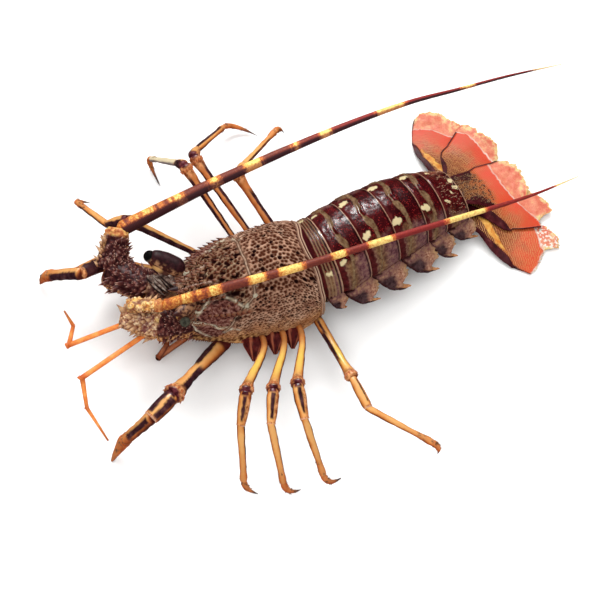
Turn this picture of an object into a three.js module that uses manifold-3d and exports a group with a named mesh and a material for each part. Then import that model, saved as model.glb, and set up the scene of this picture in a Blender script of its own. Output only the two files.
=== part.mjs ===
// A whole spiny lobster lying on a flat surface, back up, with its two stout
// antennae swept back over the body and its tail fan spread.
//
// Millimetres, +Z up, the surface at z = 0. While the lobster is drawn, the head
// points to -Y, the tail to +Y and the lobster's left side is +X. At the end the
// group is moved so that the origin is under the middle of the whole thing.

import * as THREE from 'three';
import { mergeVertices } from 'three/addons/utils/BufferGeometryUtils.js';
import Module from 'manifold-3d';

const wasm = await Module();
wasm.setup();

// ---------------------------------------------------------------------------
// Driving dimensions
// ---------------------------------------------------------------------------

const GAP = 0.3; // clearance between neighbouring pieces of shell

// Carapace: half-width, lowest edge, height of the widest line and top, from
// the front edge between the eyes to the rear margin.
const CARAPACE = [
  { y: -90, half: 22, low: 31, wide: 44, top: 64 },
  { y: -80, half: 28, low: 23, wide: 41, top: 68.5 },
  { y: -62, half: 35, low: 16.5, wide: 37, top: 73 },
  { y: -36, half: 39.5, low: 13, wide: 34, top: 75.5 },
  { y: -10, half: 41.5, low: 12, wide: 33, top: 75 },
  { y: 6, half: 39, low: 14, wide: 34, top: 71.5 },
  { y: 14, half: 35.5, low: 17, wide: 35, top: 68.5 },
];
const CARAPACE_RINGS = 14;
const CARAPACE_ARCH_POINTS = 17;
const CARAPACE_ROUNDNESS = 2.05; // exponent of the back's arch: 2 is an ellipse
const EDGE_TUCK = 0.05; // how far the flank turns in below the widest line

// Horns over the eyes and the small spine between them.
const HORN = { base: [15, -83, 64.5], tip: [26, -104, 79], radius: 7.4, flat: 0.9 };
const ROSTRUM = { base: [0, -86, 62], tip: [0, -98, 69], radius: 3.5, flat: 0.8 };
const HORN_SIDES = 7;
// Large spines in two rows running back from the horns.
const ROW_SPINES = { count: 3, firstX: 10, outward: 1.2, firstY: -74, pitch: 11, height: 5, radius: 1.8 };

// The right eye looks forward past its horn. The left one is folded back against the shell.
const EYE = { stalkRadii: [4, 5, 5], radius: 5.6, facets: 9, bands: 6 };
const EYE_PATHS = {
  left: { root: [13, -91, 58], bend: [19, -93, 59], ball: [26, -92.5, 60] },
  right: { root: [-15, -92.5, 62], bend: [-20, -99, 67], ball: [-27.5, -106, 73] },
};
// The block behind the antennae and the plate that the legs grow from, as
// sections from front to rear.
const FACE = [
  { y: -90.6, half: 9, low: 31, top: 52 },
  { y: -106, half: 5.2, low: 34, top: 46 },
];
const FACE_BEVEL = 5;
const STERNUM = [
  { y: -84, half: 9, bottom: 11.5, top: 20 },
  { y: -60, half: 18, bottom: 5.5, top: 14 },
  { y: -20, half: 24, bottom: 5.5, top: 14 },
  { y: 12, half: 27, bottom: 5.5, top: 14 },
];

// Antennae. Each stalk has three stout segments and then the long tapering whip.
// Radii are in millimetres, at the matching points.
const ANTENNAE = {
  left: {
    stalk: [
      { from: [19, -92, 41], to: [15, -109, 43], r: [10.5, 12.5] },
      { from: [14.5, -110, 43], to: [-1, -132, 45], r: [12, 9.5] },
      { from: [-1, -126, 57.5], to: [8, -104, 62.5], r: [5.5, 4.4] },
    ],
    whip: [[8.4, -103, 62.7], [15.5, -55, 76.5], [19.5, 0, 77.5], [17.5, 62, 74],
      [14, 131, 63], [6, 194, 46], [-6, 245, 30]],
    radii: [4, 3.5, 3, 2.2, 1.6, 1.3, 0.6],
  },
  right: {
    stalk: [
      { from: [-12, -92, 40], to: [-19, -108, 43], r: [10.5, 12.5] },
      { from: [-20, -109.5, 43], to: [-42, -132, 45], r: [12.5, 12] },
      { from: [-44, -128, 51], to: [-64, -116.5, 61], r: [11.5, 7] },
    ],
    whip: [[-65.5, -112.5, 62.4], [-77, -38, 67], [-88, 55, 69], [-97, 127, 64],
      [-102, 180, 54], [-105, 228, 46], [-107, 277, 36]],
    radii: [5.2, 4.7, 3.5, 2.5, 1.8, 1.3, 0.6],
  },
};
const WHIP_STEPS = 18;
const WHIP_SIDES = 7;
const STALK_SIDES = 9;
const STALK_FLAT = 0.9; // height of a stalk segment over its width
const STALK_SPINES = { firstShare: 0.3, pitch: 0.26, rows: 2, around: 4, height: 7, radius: 2.4, sides: 3 };

// Small antennae, three slender joints and a thread each.
const ANTENNULES = {
  left: { points: [[9, -107.5, 36], [26, -176, 31], [40.5, -178, 19], [70, -172, 3]],
    radii: [2.2, 2.3, 1.6, 0.8] },
  right: { points: [[-3, -107.5, 34], [-5, -180, 20], [-15, -169, 26], [-26, -172, 36]],
    radii: [2.2, 2.2, 1.5, 0.8] },
};
const ANTENNULE_STEPS = 9;
// Feeding legs folded under the mouth.
const FEEDING_LEG = { points: [[22, -80, 8], [23, -116, 11], [20, -108, 21], [12, -103, 24]],
  radii: [3.6, 3.4, 2.8, 1.4] };

// Abdomen: at each joint the distance behind the carapace, the top, the
// half-width of the arch, and where the side flaps end.
const TAIL_PIVOT_Y = 14;
const TAIL_BEND = THREE.MathUtils.degToRad(11.5); // towards the right side
const TAIL_BEND_RUN = 40; // length over which the bend comes on
const JOINTS = [
  { at: 0.3, top: 67, half: 33, belly: 22, tipHalf: 36, tipZ: 24 },
  { at: 12, top: 68, half: 34, belly: 22, tipHalf: 41, tipZ: 22 },
  { at: 35, top: 71.5, half: 34, belly: 22, tipHalf: 47, tipZ: 17 },
  { at: 62, top: 73, half: 32.5, belly: 22, tipHalf: 47, tipZ: 15 },
  { at: 90, top: 68, half: 30, belly: 20, tipHalf: 44, tipZ: 13 },
  { at: 110, top: 60, half: 27, belly: 17, tipHalf: 41, tipZ: 12 },
  { at: 134, top: 43, half: 24, belly: 13, tipHalf: 33, tipZ: 11 },
];
const ARCH_POINTS = 13;
const ARCH_ROUNDNESS = 2.1;
const SIDE_HEIGHT = 0.35; // height of the arch's foot between flap tip and top
const BULGE = { half: 0.025, top: 1.2 }; // how much each ring of shell swells midway
// Side flaps along a ring of shell: share of its length, how far the flap has
// grown, and how far it sweeps back as a share of the length.
const FLAP_STATIONS = [[0, 0.05, 0], [0.35, 0.45, 0], [0.72, 1, 0.14], [1, 0.3, 0]];

// Tail fan blades: root on the last joint, direction in plan (0 is straight back,
// + is outward), length, widest half-width, and the height of the underside.
const FAN = {
  thickness: 2.4,
  telson: { root: [0, 134.6], turn: 1, length: 70, half: 23, base: 12, z: [27, 6.2] },
  endopod: { root: [13, 137], turn: 24, length: 69, half: 24, base: 8, z: [14, 3.1] },
  exopod: { root: [20, 134.6], turn: 47, length: 74, half: 24, base: 10, z: [9, 0] },
};
// A blade's outline as [share of the length, share of the half-width]: narrow at
// the root, broad and rounded at the end. Behind DROOP_END it lies level.
const FAN_OUTLINE = [[0.2, 0.66], [0.42, 0.88], [0.66, 1], [0.85, 0.99], [0.96, 0.83], [1, 0.58]];
const DROOP_END = 0.55;

// Walking legs: hip, then heading and slope of each link in degrees. Heading 0
// points straight out from the body's side and + is towards the tail; slope is
// above level. The dactyl's slope follows from its reaching the surface.
const LEG = {
  hipX: 29, hipZ: 14,
  hipY: [-66, -41, -24, -10, 7],
  merus: [75.5, 90.5, 87.5, 95, 69.5],
  carpus: [27, 26, 27, 29, 26.5],
  propodus: [41, 45.5, 45, 48.5, 53],
  dactyl: [23, 18.5, 23.5, 27.5, 17],
  girth: [1.35, 1, 1, 1, 0.95],
};
const TIP_HEIGHT = 0.4; // centre of the claw's end above the surface
const LEG_POSES = {
  left: [
    { merus: [-46, 31], carpus: [-64, -3], propodus: [-99, -56], dactyl: -69 },
    { merus: [-23, 36], carpus: [-32, -39], propodus: [-16, -51], dactyl: 46 },
    { merus: [-21, 31], carpus: [-23, -14], propodus: [-2, -46], dactyl: 81 },
    { merus: [-17, 35], carpus: [-14, -11], propodus: [12, -54], dactyl: 94 },
    { merus: [5, 11], carpus: [5, -1], propodus: [44, -11], dactyl: 47 },
  ],
  right: [
    { merus: [-67, 15], carpus: [-118, 31], propodus: [-45, -41], dactyl: -53 },
    { merus: [-54, 25], carpus: [-49, -44], propodus: [-21, -25], dactyl: 57 },
    { merus: [-21, 31], carpus: [-7, -39], propodus: [-26, -41], dactyl: 179 },
    { merus: [-19, 24], carpus: [22, -45], propodus: [46, -23], dactyl: 111 },
    { merus: [-21, 24], carpus: [35, -27], propodus: [49, -18], dactyl: 60 },
  ],
};
// Radius along each link, as [share of the length, radius in millimetres].
const LINK_SHAPES = {
  merus: [[0, 6.2], [0.18, 6.2], [0.34, 3.9], [0.9, 4.9], [1, 4.2]],
  carpus: [[0, 3.6], [0.5, 4.3], [1, 3.5]],
  propodus: [[0, 3.3], [0.92, 3.1], [1, 2.5]],
  dactyl: [[0, 2.4], [0.35, 2.7], [1, 0.8]],
};
const LEG_SIDES = 7;

const COLOURS = {
  shell: 0x7a5a42, horn: 0x3a1c18, eye: 0x0d0d10, stalk: 0x6a3a30, whip: 0xb5622c,
  leg: 0xd98a3c, dactyl: 0xa8642c, abdomen: 0x4e1420, fan: 0xc8553c, belly: 0xb58a68,
};

// ---------------------------------------------------------------------------
// Geometry helpers
// ---------------------------------------------------------------------------

const vec = (p) => new THREE.Vector3(p[0], p[1], p[2]);
const mirror = (p, side) => new THREE.Vector3(side * p[0], p[1], p[2]);

/** Catmull-Rom value between b and c at t, with neighbours a and d. */
function catmullRom(a, b, c, d, t) {
  const slopeB = (c - a) / 2;
  const slopeC = (d - b) / 2;
  const t2 = t * t;
  const t3 = t2 * t;
  return (2 * b - 2 * c + slopeB + slopeC) * t3 + (-3 * b + 3 * c - 2 * slopeB - slopeC) * t2
    + slopeB * t + b;
}

/** Every named value of a table of rows, at place t from 0 (first) to 1 (last). */
function sampleRows(rows, t) {
  const place = THREE.MathUtils.clamp(t, 0, 1) * (rows.length - 1);
  const index = Math.min(Math.floor(place), rows.length - 2);
  const pick = (i) => rows[THREE.MathUtils.clamp(i, 0, rows.length - 1)];
  const result = {};
  for (const key of Object.keys(rows[0])) {
    result[key] = catmullRom(pick(index - 1)[key], pick(index)[key], pick(index + 1)[key],
      pick(index + 2)[key], place - index);
  }
  return result;
}

/** Triangles that close a ring, as triples of places in the ring. */
function capTriangles(ring) {
  const normal = new THREE.Vector3();
  ring.forEach((p, i) => {
    const q = ring[(i + 1) % ring.length];
    normal.add(new THREE.Vector3().crossVectors(p, q));
  });
  normal.normalize();
  const helper = Math.abs(normal.z) < 0.9 ? new THREE.Vector3(0, 0, 1) : new THREE.Vector3(1, 0, 0);
  const u = new THREE.Vector3().crossVectors(helper, normal).normalize();
  const v = new THREE.Vector3().crossVectors(normal, u);
  const flat = ring.map((p) => new THREE.Vector2(p.dot(u), p.dot(v)));
  return THREE.ShapeUtils.triangulateShape(flat, []);
}

/** A closed body through rings of points, with both ends capped. */
function loft(rings) {
  const count = rings[0].length;
  const positions = rings.flat().flatMap((p) => [p.x, p.y, p.z]);
  const index = [];
  for (let r = 0; r + 1 < rings.length; r += 1) {
    for (let i = 0; i < count; i += 1) {
      const a = r * count + i;
      const b = r * count + ((i + 1) % count);
      index.push(a, b, b + count, a, b + count, a + count);
    }
  }
  const last = (rings.length - 1) * count;
  for (const [a, b, c] of capTriangles(rings[0])) index.push(c, b, a);
  for (const [a, b, c] of capTriangles(rings[rings.length - 1])) {
    index.push(last + a, last + b, last + c);
  }
  const geometry = new THREE.BufferGeometry();
  geometry.setAttribute('position', new THREE.Float32BufferAttribute(positions, 3));
  geometry.setIndex(index);
  if (signedVolume(geometry) < 0) geometry.setIndex(index.reverse());
  return geometry;
}

function signedVolume(geometry) {
  const index = geometry.index.array;
  const corner = (i) => new THREE.Vector3().fromBufferAttribute(geometry.attributes.position, index[i]);
  let volume = 0;
  for (let i = 0; i < index.length; i += 3) {
    volume += corner(i).dot(corner(i + 1).cross(corner(i + 2)));
  }
  return volume / 6;
}

/** An oval ring of points round a centre, square to a direction. */
function ovalRing(centre, direction, radius, sides, flat = 1) {
  const along = direction.clone().normalize();
  const up = Math.abs(along.z) < 0.99 ? new THREE.Vector3(0, 0, 1) : new THREE.Vector3(0, 1, 0);
  const across = new THREE.Vector3().crossVectors(along, up).normalize();
  const rise = new THREE.Vector3().crossVectors(across, along);
  return Array.from({ length: sides }, (_, i) => {
    const angle = ((i + 0.5) / sides) * Math.PI * 2;
    return centre.clone()
      .addScaledVector(across, Math.cos(angle) * radius)
      .addScaledVector(rise, Math.sin(angle) * radius * flat);
  });
}

/** A smooth tapering rod through points, with a radius at each point. */
function taperedRod(points, radii, steps, sides) {
  const curve = new THREE.CatmullRomCurve3(points.map(vec));
  const rows = radii.map((r) => ({ r }));
  const rings = [];
  for (let i = 0; i <= steps; i += 1) {
    const t = i / steps;
    rings.push(ovalRing(curve.getPoint(t), curve.getTangent(t), sampleRows(rows, t).r, sides));
  }
  return loft(rings);
}

/** A straight link whose radius follows a profile of [share, radius]. */
function link(from, to, profile, girth = 1, flat = 0.85) {
  const run = to.clone().sub(from);
  return loft(profile.map(([share, radius]) => (
    ovalRing(from.clone().addScaledVector(run, share), run, radius * girth, LEG_SIDES, flat)
  )));
}

/** A pointed spine, its root sunk a little into what carries it. */
function spine(base, direction, height, radius, sides = 4) {
  const tip = base.clone().addScaledVector(direction, height);
  return loft([
    ovalRing(base.clone().addScaledVector(direction, -radius), direction, radius * 1.1, sides),
    ovalRing(base.clone().addScaledVector(direction, height * 0.3), direction, radius * 0.72, sides),
    ovalRing(tip, direction, radius * 0.12, sides),
  ]);
}

/** A closed geometry as a solid that can be joined and cut. */
function toSolid(geometry) {
  const bare = geometry.clone();
  bare.deleteAttribute('normal');
  bare.deleteAttribute('uv');
  const merged = mergeVertices(bare, 1e-4);
  return new wasm.Manifold(new wasm.Mesh({
    numProp: 3,
    vertProperties: new Float32Array(merged.attributes.position.array),
    triVerts: new Uint32Array(merged.index.array),
  }));
}

function toGeometry(solid) {
  const mesh = solid.getMesh();
  const geometry = new THREE.BufferGeometry();
  geometry.setAttribute('position', new THREE.Float32BufferAttribute(mesh.vertProperties, 3));
  geometry.setIndex(Array.from(mesh.triVerts));
  return geometry;
}

const joined = (geometries) => geometries.map(toSolid).reduce((a, b) => a.add(b));

/** A solid made larger by moving its skin outward, to cut room for it. */
function grown(solid, distance = GAP) {
  const geometry = mergeVertices(toGeometry(solid), 1e-4);
  geometry.computeVertexNormals();
  const { position, normal } = geometry.attributes;
  for (let i = 0; i < position.count; i += 1) {
    position.setXYZ(i, position.getX(i) + normal.getX(i) * distance,
      position.getY(i) + normal.getY(i) * distance, position.getZ(i) + normal.getZ(i) * distance);
  }
  geometry.deleteAttribute('normal');
  return toSolid(geometry);
}

/** A solid with room cut into it for its neighbours, largest remaining part only. */
function clearOf(solid, neighbours) {
  const cut = neighbours.reduce((rest, other) => rest.subtract(grown(other)), solid);
  return cut.decompose().reduce((a, b) => (a.volume() >= b.volume() ? a : b));
}

/** What lies above the surface that the lobster rests on, as a large block. */
function aboveSurface() {
  const size = 1000;
  const block = new THREE.BoxGeometry(size, size, size);
  block.translate(0, 0, size / 2);
  return toSolid(block);
}

// ---------------------------------------------------------------------------
// Carapace
// ---------------------------------------------------------------------------

/** The arch over the back: points [x, rise] from the left side over the top. */
function archPoints(half, rise, roundness, count) {
  return Array.from({ length: count }, (_, i) => {
    const angle = (i / (count - 1)) * Math.PI;
    const c = Math.cos(angle);
    const x = Math.sign(c) * Math.abs(c) ** (2 / roundness) * half;
    return [x, Math.sin(angle) ** (2 / roundness) * rise];
  });
}

function carapaceRing(t, grow) {
  const s = sampleRows(CARAPACE, t);
  const half = s.half + grow;
  const low = s.low - grow;
  const ring = archPoints(half, s.top + grow - s.wide, CARAPACE_ROUNDNESS, CARAPACE_ARCH_POINTS)
    .map(([x, rise]) => [x, s.wide + rise]);
  const flank = [0.35, 0.7, 1].map((drop) => [
    half * (1 - EDGE_TUCK * drop * drop), s.wide + (low - s.wide) * drop,
  ]);
  const rightFlank = flank.map(([x, z]) => [-x, z]);
  const leftFlank = flank.slice().reverse();
  return [...ring, ...rightFlank, ...leftFlank].map(([x, z]) => new THREE.Vector3(x, s.y, z));
}

function carapaceShell(grow = 0) {
  return loft(Array.from({ length: CARAPACE_RINGS }, (_, i) => (
    carapaceRing(i / (CARAPACE_RINGS - 1), grow)
  )));
}

/** Height of the back above the point x, y. */
function backHeight(x, y) {
  const rows = CARAPACE;
  const index = Math.max(rows.findIndex((row) => row.y >= y) - 1, 0);
  const share = (y - rows[index].y) / (rows[index + 1].y - rows[index].y);
  const s = sampleRows(rows, (index + share) / (rows.length - 1));
  const out = Math.min(Math.abs(x) / s.half, 1);
  return s.wide + (s.top - s.wide) * (1 - out ** CARAPACE_ROUNDNESS) ** (1 / CARAPACE_ROUNDNESS);
}

function horn(shape, side) {
  const base = mirror(shape.base, side);
  const tip = mirror(shape.tip, side);
  const run = tip.clone().sub(base);
  const profile = [[-0.2, 0.85], [0.15, 1], [0.5, 0.92], [0.8, 0.55], [1, 0.08]];
  return loft(profile.map(([share, width]) => (
    ovalRing(base.clone().addScaledVector(run, share), run, shape.radius * width, HORN_SIDES, shape.flat)
  )));
}

function carapace() {
  const pieces = [carapaceShell(), horn(HORN, 1), horn(HORN, -1), horn(ROSTRUM, 1)];
  const lean = new THREE.Vector3(0, -0.7, 0.7);
  for (const side of [1, -1]) {
    for (let i = 0; i < ROW_SPINES.count; i += 1) {
      const y = ROW_SPINES.firstY + i * ROW_SPINES.pitch;
      const x = side * (ROW_SPINES.firstX + i * ROW_SPINES.outward);
      const base = new THREE.Vector3(x, y, backHeight(x, y) - 0.5);
      pieces.push(spine(base, lean, ROW_SPINES.height, ROW_SPINES.radius));
    }
  }
  return joined(pieces);
}

// ---------------------------------------------------------------------------
// Head: eyes, face, antennae, feeding legs
// ---------------------------------------------------------------------------

function eye(name) {
  const path = EYE_PATHS[name];
  const [root, bend, ball] = [path.root, path.bend, path.ball].map((p) => new THREE.Vector3(...p));
  const stalk = loft([
    ovalRing(root, bend.clone().sub(root), EYE.stalkRadii[0], EYE.facets),
    ovalRing(bend, ball.clone().sub(root), EYE.stalkRadii[1], EYE.facets),
    ovalRing(ball, ball.clone().sub(bend), EYE.stalkRadii[2], EYE.facets),
  ]);
  const cornea = new THREE.SphereGeometry(EYE.radius, EYE.facets, EYE.bands);
  cornea.translate(ball.x, ball.y, ball.z);
  return joined([stalk, cornea]);
}

/** The block between carapace and antennae that carries the mouth parts. */
function faceBlock() {
  return loft(FACE.map(({ y, half, low, top }) => (
    [[half, low], [half, top - FACE_BEVEL], [half * 0.6, top],
      [-half * 0.6, top], [-half, top - FACE_BEVEL], [-half, low], [0, low - FACE_BEVEL]]
      .map(([x, z]) => new THREE.Vector3(x, y, z))
  )));
}

/** The plate under the carapace that the legs grow from. */
function sternumPlate() {
  return loft(STERNUM.map(({ y, half, bottom, top }) => (
    [[half, top], [-half, top], [-half * 0.8, bottom], [half * 0.8, bottom]]
      .map(([x, z]) => new THREE.Vector3(x, y, z))
  )));
}

function stalkSegment(shape, spiny) {
  const from = vec(shape.from);
  const to = vec(shape.to);
  const run = to.clone().sub(from);
  const [r0, r1] = shape.r;
  const profile = [[0, r0 * 0.8], [0.15, r0], [0.85, r1], [1, r1 * 0.78]];
  const body = loft(profile.map(([share, radius]) => (
    ovalRing(from.clone().addScaledVector(run, share), run, radius, STALK_SIDES, STALK_FLAT)
  )));
  if (!spiny) return toSolid(body);
  const pieces = [body];
  const forward = run.clone().normalize();
  for (let row = 0; row < STALK_SPINES.rows; row += 1) {
    const share = STALK_SPINES.firstShare + row * STALK_SPINES.pitch;
    const radius = THREE.MathUtils.lerp(r0, r1, share) * STALK_FLAT;
    const centre = from.clone().addScaledVector(run, share);
    const roots = ovalRing(centre, run, radius, STALK_SPINES.around, STALK_FLAT);
    for (const root of roots) {
      const lean = root.clone().sub(centre).normalize().add(forward).normalize();
      pieces.push(spine(root, lean, STALK_SPINES.height, STALK_SPINES.radius, STALK_SPINES.sides));
    }
  }
  return joined(pieces);
}

/** Both mirror sides of a point table, for parts that are alike left and right. */
const mirrored = (points, side) => points.map((p) => [side * p[0], p[1], p[2]]);

// ---------------------------------------------------------------------------
// Abdomen and tail fan
// ---------------------------------------------------------------------------

/** Turns a point behind the carapace sideways, as the tail bends. */
function bendTail(p) {
  const behind = p.y - TAIL_PIVOT_Y;
  const share = THREE.MathUtils.smoothstep(behind, -TAIL_BEND_RUN / 2, TAIL_BEND_RUN);
  const angle = TAIL_BEND * share;
  const x = p.x * Math.cos(angle) - behind * Math.sin(angle);
  const y = TAIL_PIVOT_Y + p.x * Math.sin(angle) + behind * Math.cos(angle);
  return new THREE.Vector3(x, y, p.z);
}

/** One section of the abdomen: an arch over the top, side flaps, flat belly. */
function abdomenRing(s, flap, sweep) {
  const foot = s.tipZ + (s.top - s.tipZ) * SIDE_HEIGHT;
  const arch = archPoints(s.half, s.top - foot, ARCH_ROUNDNESS, ARCH_POINTS)
    .map(([x, rise]) => [x, 0, foot + rise]);
  const tipX = THREE.MathUtils.lerp(s.half, s.tipHalf, flap);
  const tipZ = THREE.MathUtils.lerp(s.belly + 3, s.tipZ, flap);
  const midX = (s.half + tipX) / 2 + 1;
  const inner = s.half - 5;
  const outside = [[midX, sweep * 0.3, (foot + tipZ) / 2], [tipX, sweep, tipZ],
    [tipX - 2.5, sweep, tipZ + 0.5]];
  const inside = [[inner, 0, s.belly + 1]];
  const left = [...outside, ...inside];
  const right = left.map(([x, dy, z]) => [-x, dy, z]);
  return [...arch, ...right, ...left.reverse()]
    .map(([x, dy, z]) => bendTail(new THREE.Vector3(x, TAIL_PIVOT_Y + s.at + dy, z)));
}

function abdomenSegment(number) {
  const front = JOINTS[number - 1];
  const rear = JOINTS[number];
  const length = rear.at - front.at - GAP;
  return loft(FLAP_STATIONS.map(([share, flap, sweep]) => {
    const s = sampleRows(JOINTS, (number - 1 + share) / (JOINTS.length - 1));
    s.at = front.at + share * length;
    const swell = Math.sin(share * Math.PI);
    s.half *= 1 + BULGE.half * swell;
    s.top += BULGE.top * swell;
    return abdomenRing(s, flap, sweep * length);
  }));
}

/** A rounded plate of the tail fan, from its root outward. */
function fanBlade(blade, side) {
  const turn = THREE.MathUtils.degToRad(blade.turn) * side;
  const along = new THREE.Vector2(Math.sin(turn), Math.cos(turn));
  const across = new THREE.Vector2(along.y, -along.x);
  const outline = [[0, blade.base / blade.half], ...FAN_OUTLINE];
  const lanes = [-1, -0.5, 0, 0.5, 1];
  const droop = (share) => THREE.MathUtils.lerp(blade.z[0], blade.z[1],
    THREE.MathUtils.smoothstep(share, 0, DROOP_END));
  return loft(outline.map(([share, width]) => {
    const point = (lane, lift) => {
      const x = side * blade.root[0] + along.x * share * blade.length
        + across.x * lane * width * blade.half;
      const y = blade.root[1] + along.y * share * blade.length
        + across.y * lane * width * blade.half;
      const crown = 1 - 0.55 * lane * lane;
      return bendTail(new THREE.Vector3(x, TAIL_PIVOT_Y + y,
        droop(share) + lift * FAN.thickness * crown));
    };
    return [...lanes.map((lane) => point(lane, 1)), ...lanes.map((lane) => point(-lane, 0))];
  }));
}

// ---------------------------------------------------------------------------
// Legs
// ---------------------------------------------------------------------------

/** Unit vector for a heading and a slope in degrees, on one side of the body. */
function heading([turn, slope], side) {
  const t = THREE.MathUtils.degToRad(turn);
  const s = THREE.MathUtils.degToRad(slope);
  return new THREE.Vector3(side * Math.cos(t) * Math.cos(s), Math.sin(t) * Math.cos(s), Math.sin(s));
}

/** The leg's joints from hip to tip, the tip just touching the surface. */
function legJoints(number, side) {
  const i = number - 1;
  const pose = LEG_POSES[side > 0 ? 'left' : 'right'][i];
  const hip = new THREE.Vector3(side * LEG.hipX, LEG.hipY[i], LEG.hipZ);
  const knee = hip.clone().addScaledVector(heading(pose.merus, side), LEG.merus[i]);
  const wrist = knee.clone().addScaledVector(heading(pose.carpus, side), LEG.carpus[i]);
  const ankle = wrist.clone().addScaledVector(heading(pose.propodus, side), LEG.propodus[i]);
  const fall = Math.asin((TIP_HEIGHT - ankle.z) / LEG.dactyl[i]);
  const reach = heading([pose.dactyl, THREE.MathUtils.radToDeg(fall)], side);
  const tip = ankle.clone().addScaledVector(reach, LEG.dactyl[i]);
  return [hip, knee, wrist, ankle, tip];
}

/** The three movable parts of a leg, each fitted to the one before it. */
function leg(number, side, body) {
  const [hip, knee, wrist, ankle, tip] = legJoints(number, side);
  const girth = LEG.girth[number - 1];
  const make = (from, to, name) => link(from, to, LINK_SHAPES[name], girth);
  const merus = clearOf(toSolid(make(hip, knee, 'merus')), body);
  const bent = joined([make(knee, wrist, 'carpus'), make(wrist, ankle, 'propodus')]);
  const shin = clearOf(bent, [merus]);
  const claw = toSolid(make(ankle, tip, 'dactyl')).intersect(aboveSurface());
  return [['merus', merus], ['shin', shin], ['dactyl', clearOf(claw, [shin])]];
}

// ---------------------------------------------------------------------------
// Assembly
// ---------------------------------------------------------------------------

const lobster = new THREE.Group();
const SIDES = [['left', 1], ['right', -1]];

function add(name, solid, colour, roughness = 0.5) {
  const material = new THREE.MeshStandardMaterial({ color: colour, roughness, metalness: 0 });
  const mesh = new THREE.Mesh(toGeometry(solid), material);
  mesh.name = name;
  lobster.add(mesh);
  return solid;
}

const whips = {};
for (const [name] of SIDES) {
  const { whip, radii } = ANTENNAE[name];
  whips[name] = toSolid(taperedRod(whip, radii, WHIP_STEPS, WHIP_SIDES));
}
const shell = add('carapace', clearOf(carapace(), [whips.left]), COLOURS.shell);
const face = add('face', clearOf(toSolid(faceBlock()), [shell]), COLOURS.belly);
const sternum = add('sternum', clearOf(toSolid(sternumPlate()), [shell]), COLOURS.belly);
const head = [shell, face];

for (const [name] of SIDES) {
  add(`eye_${name}`, clearOf(eye(name), [shell, face, whips[name]]), COLOURS.eye, 0.15);
  ANTENNAE[name].stalk.forEach((shape, i) => {
    const solid = clearOf(stalkSegment(shape, i < 2), head);
    head.push(add(`antenna_${name}_stalk_${i + 1}`, solid, COLOURS.stalk));
  });
  add(`antenna_${name}_whip`, clearOf(whips[name], head.slice(-1)), COLOURS.whip);
}

for (const [name, side] of SIDES) {
  const thread = ANTENNULES[name];
  const antennule = toSolid(taperedRod(thread.points, thread.radii, ANTENNULE_STEPS, 6));
  add(`antennule_${name}`, clearOf(antennule.intersect(aboveSurface()), head), COLOURS.whip);

  const folded = taperedRod(mirrored(FEEDING_LEG.points, side), FEEDING_LEG.radii, ANTENNULE_STEPS, 6);
  add(`feeding_leg_${name}`, clearOf(toSolid(folded), [shell, face, sternum]), COLOURS.leg);
}

for (let number = 1; number < JOINTS.length; number += 1) {
  const segment = clearOf(toSolid(abdomenSegment(number)), [shell]);
  add(`abdomen_${number}`, segment, COLOURS.abdomen, 0.3);
}

const telson = add('telson', toSolid(fanBlade(FAN.telson, 1)), COLOURS.fan, 0.35);
for (const [name, side] of SIDES) {
  const inner = clearOf(toSolid(fanBlade(FAN.endopod, side)), [telson]);
  const outer = clearOf(toSolid(fanBlade(FAN.exopod, side)), [inner]);
  add(`endopod_${name}`, inner, COLOURS.fan, 0.35);
  add(`exopod_${name}`, outer, COLOURS.fan, 0.35);
}

for (const [name, side] of SIDES) {
  for (let number = 1; number <= LEG.hipY.length; number += 1) {
    for (const [part, solid] of leg(number, side, [shell, sternum])) {
      add(`leg_${name}_${number}_${part}`, solid, part === 'dactyl' ? COLOURS.dactyl : COLOURS.leg);
    }
  }
}

// The origin goes under the middle of the whole lobster.
const box = new THREE.Box3().setFromObject(lobster);
const middle = box.getCenter(new THREE.Vector3());
lobster.position.set(-middle.x, -middle.y, -box.min.z);
lobster.updateMatrixWorld(true);

export default lobster;
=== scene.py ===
"""The looks of a whole spiny lobster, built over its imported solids.

Shapes are worked out in millimetres in the frame that the solids were drawn in: the head
points to -Y, the tail to +Y, the lobster's left side is +X and it lies on z = 0.
"""

import math

import bpy
import numpy as np
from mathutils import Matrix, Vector


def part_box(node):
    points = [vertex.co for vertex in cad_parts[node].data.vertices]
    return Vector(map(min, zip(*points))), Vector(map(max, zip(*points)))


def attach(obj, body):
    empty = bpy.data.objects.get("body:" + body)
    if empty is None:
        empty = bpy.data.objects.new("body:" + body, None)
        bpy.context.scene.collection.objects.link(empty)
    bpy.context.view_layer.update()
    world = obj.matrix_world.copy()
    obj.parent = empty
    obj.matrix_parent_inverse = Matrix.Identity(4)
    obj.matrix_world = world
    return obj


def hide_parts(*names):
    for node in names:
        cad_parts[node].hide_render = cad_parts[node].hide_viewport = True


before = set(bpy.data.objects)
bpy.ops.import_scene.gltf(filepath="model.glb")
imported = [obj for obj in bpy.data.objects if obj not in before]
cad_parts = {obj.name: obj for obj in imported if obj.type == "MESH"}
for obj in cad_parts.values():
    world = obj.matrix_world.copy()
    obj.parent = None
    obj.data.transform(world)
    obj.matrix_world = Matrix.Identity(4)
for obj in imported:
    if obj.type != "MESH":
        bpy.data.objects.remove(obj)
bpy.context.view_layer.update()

MM = 0.001
CARAPACE_REAR = 14.0  # where the drawing frame has the carapace's rear margin
shell_low, shell_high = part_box("carapace")
ORIGIN = np.array([(shell_low.x + shell_high.x) / 2, shell_high.y - CARAPACE_REAR * MM, 0.0])
SIDES = {"left": 1, "right": -1}
UP = np.array([0.0, 0.0, 1.0])
FORWARD = np.array([0.0, -1.0, 0.0])


# ---------------------------------------------------------------------------
# Camera, lights and floor
# ---------------------------------------------------------------------------

CAMERA = {"azimuth": 70, "elevation": 62, "distance": 1.09, "target": (18, 0, 20), "lens": 85}
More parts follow.
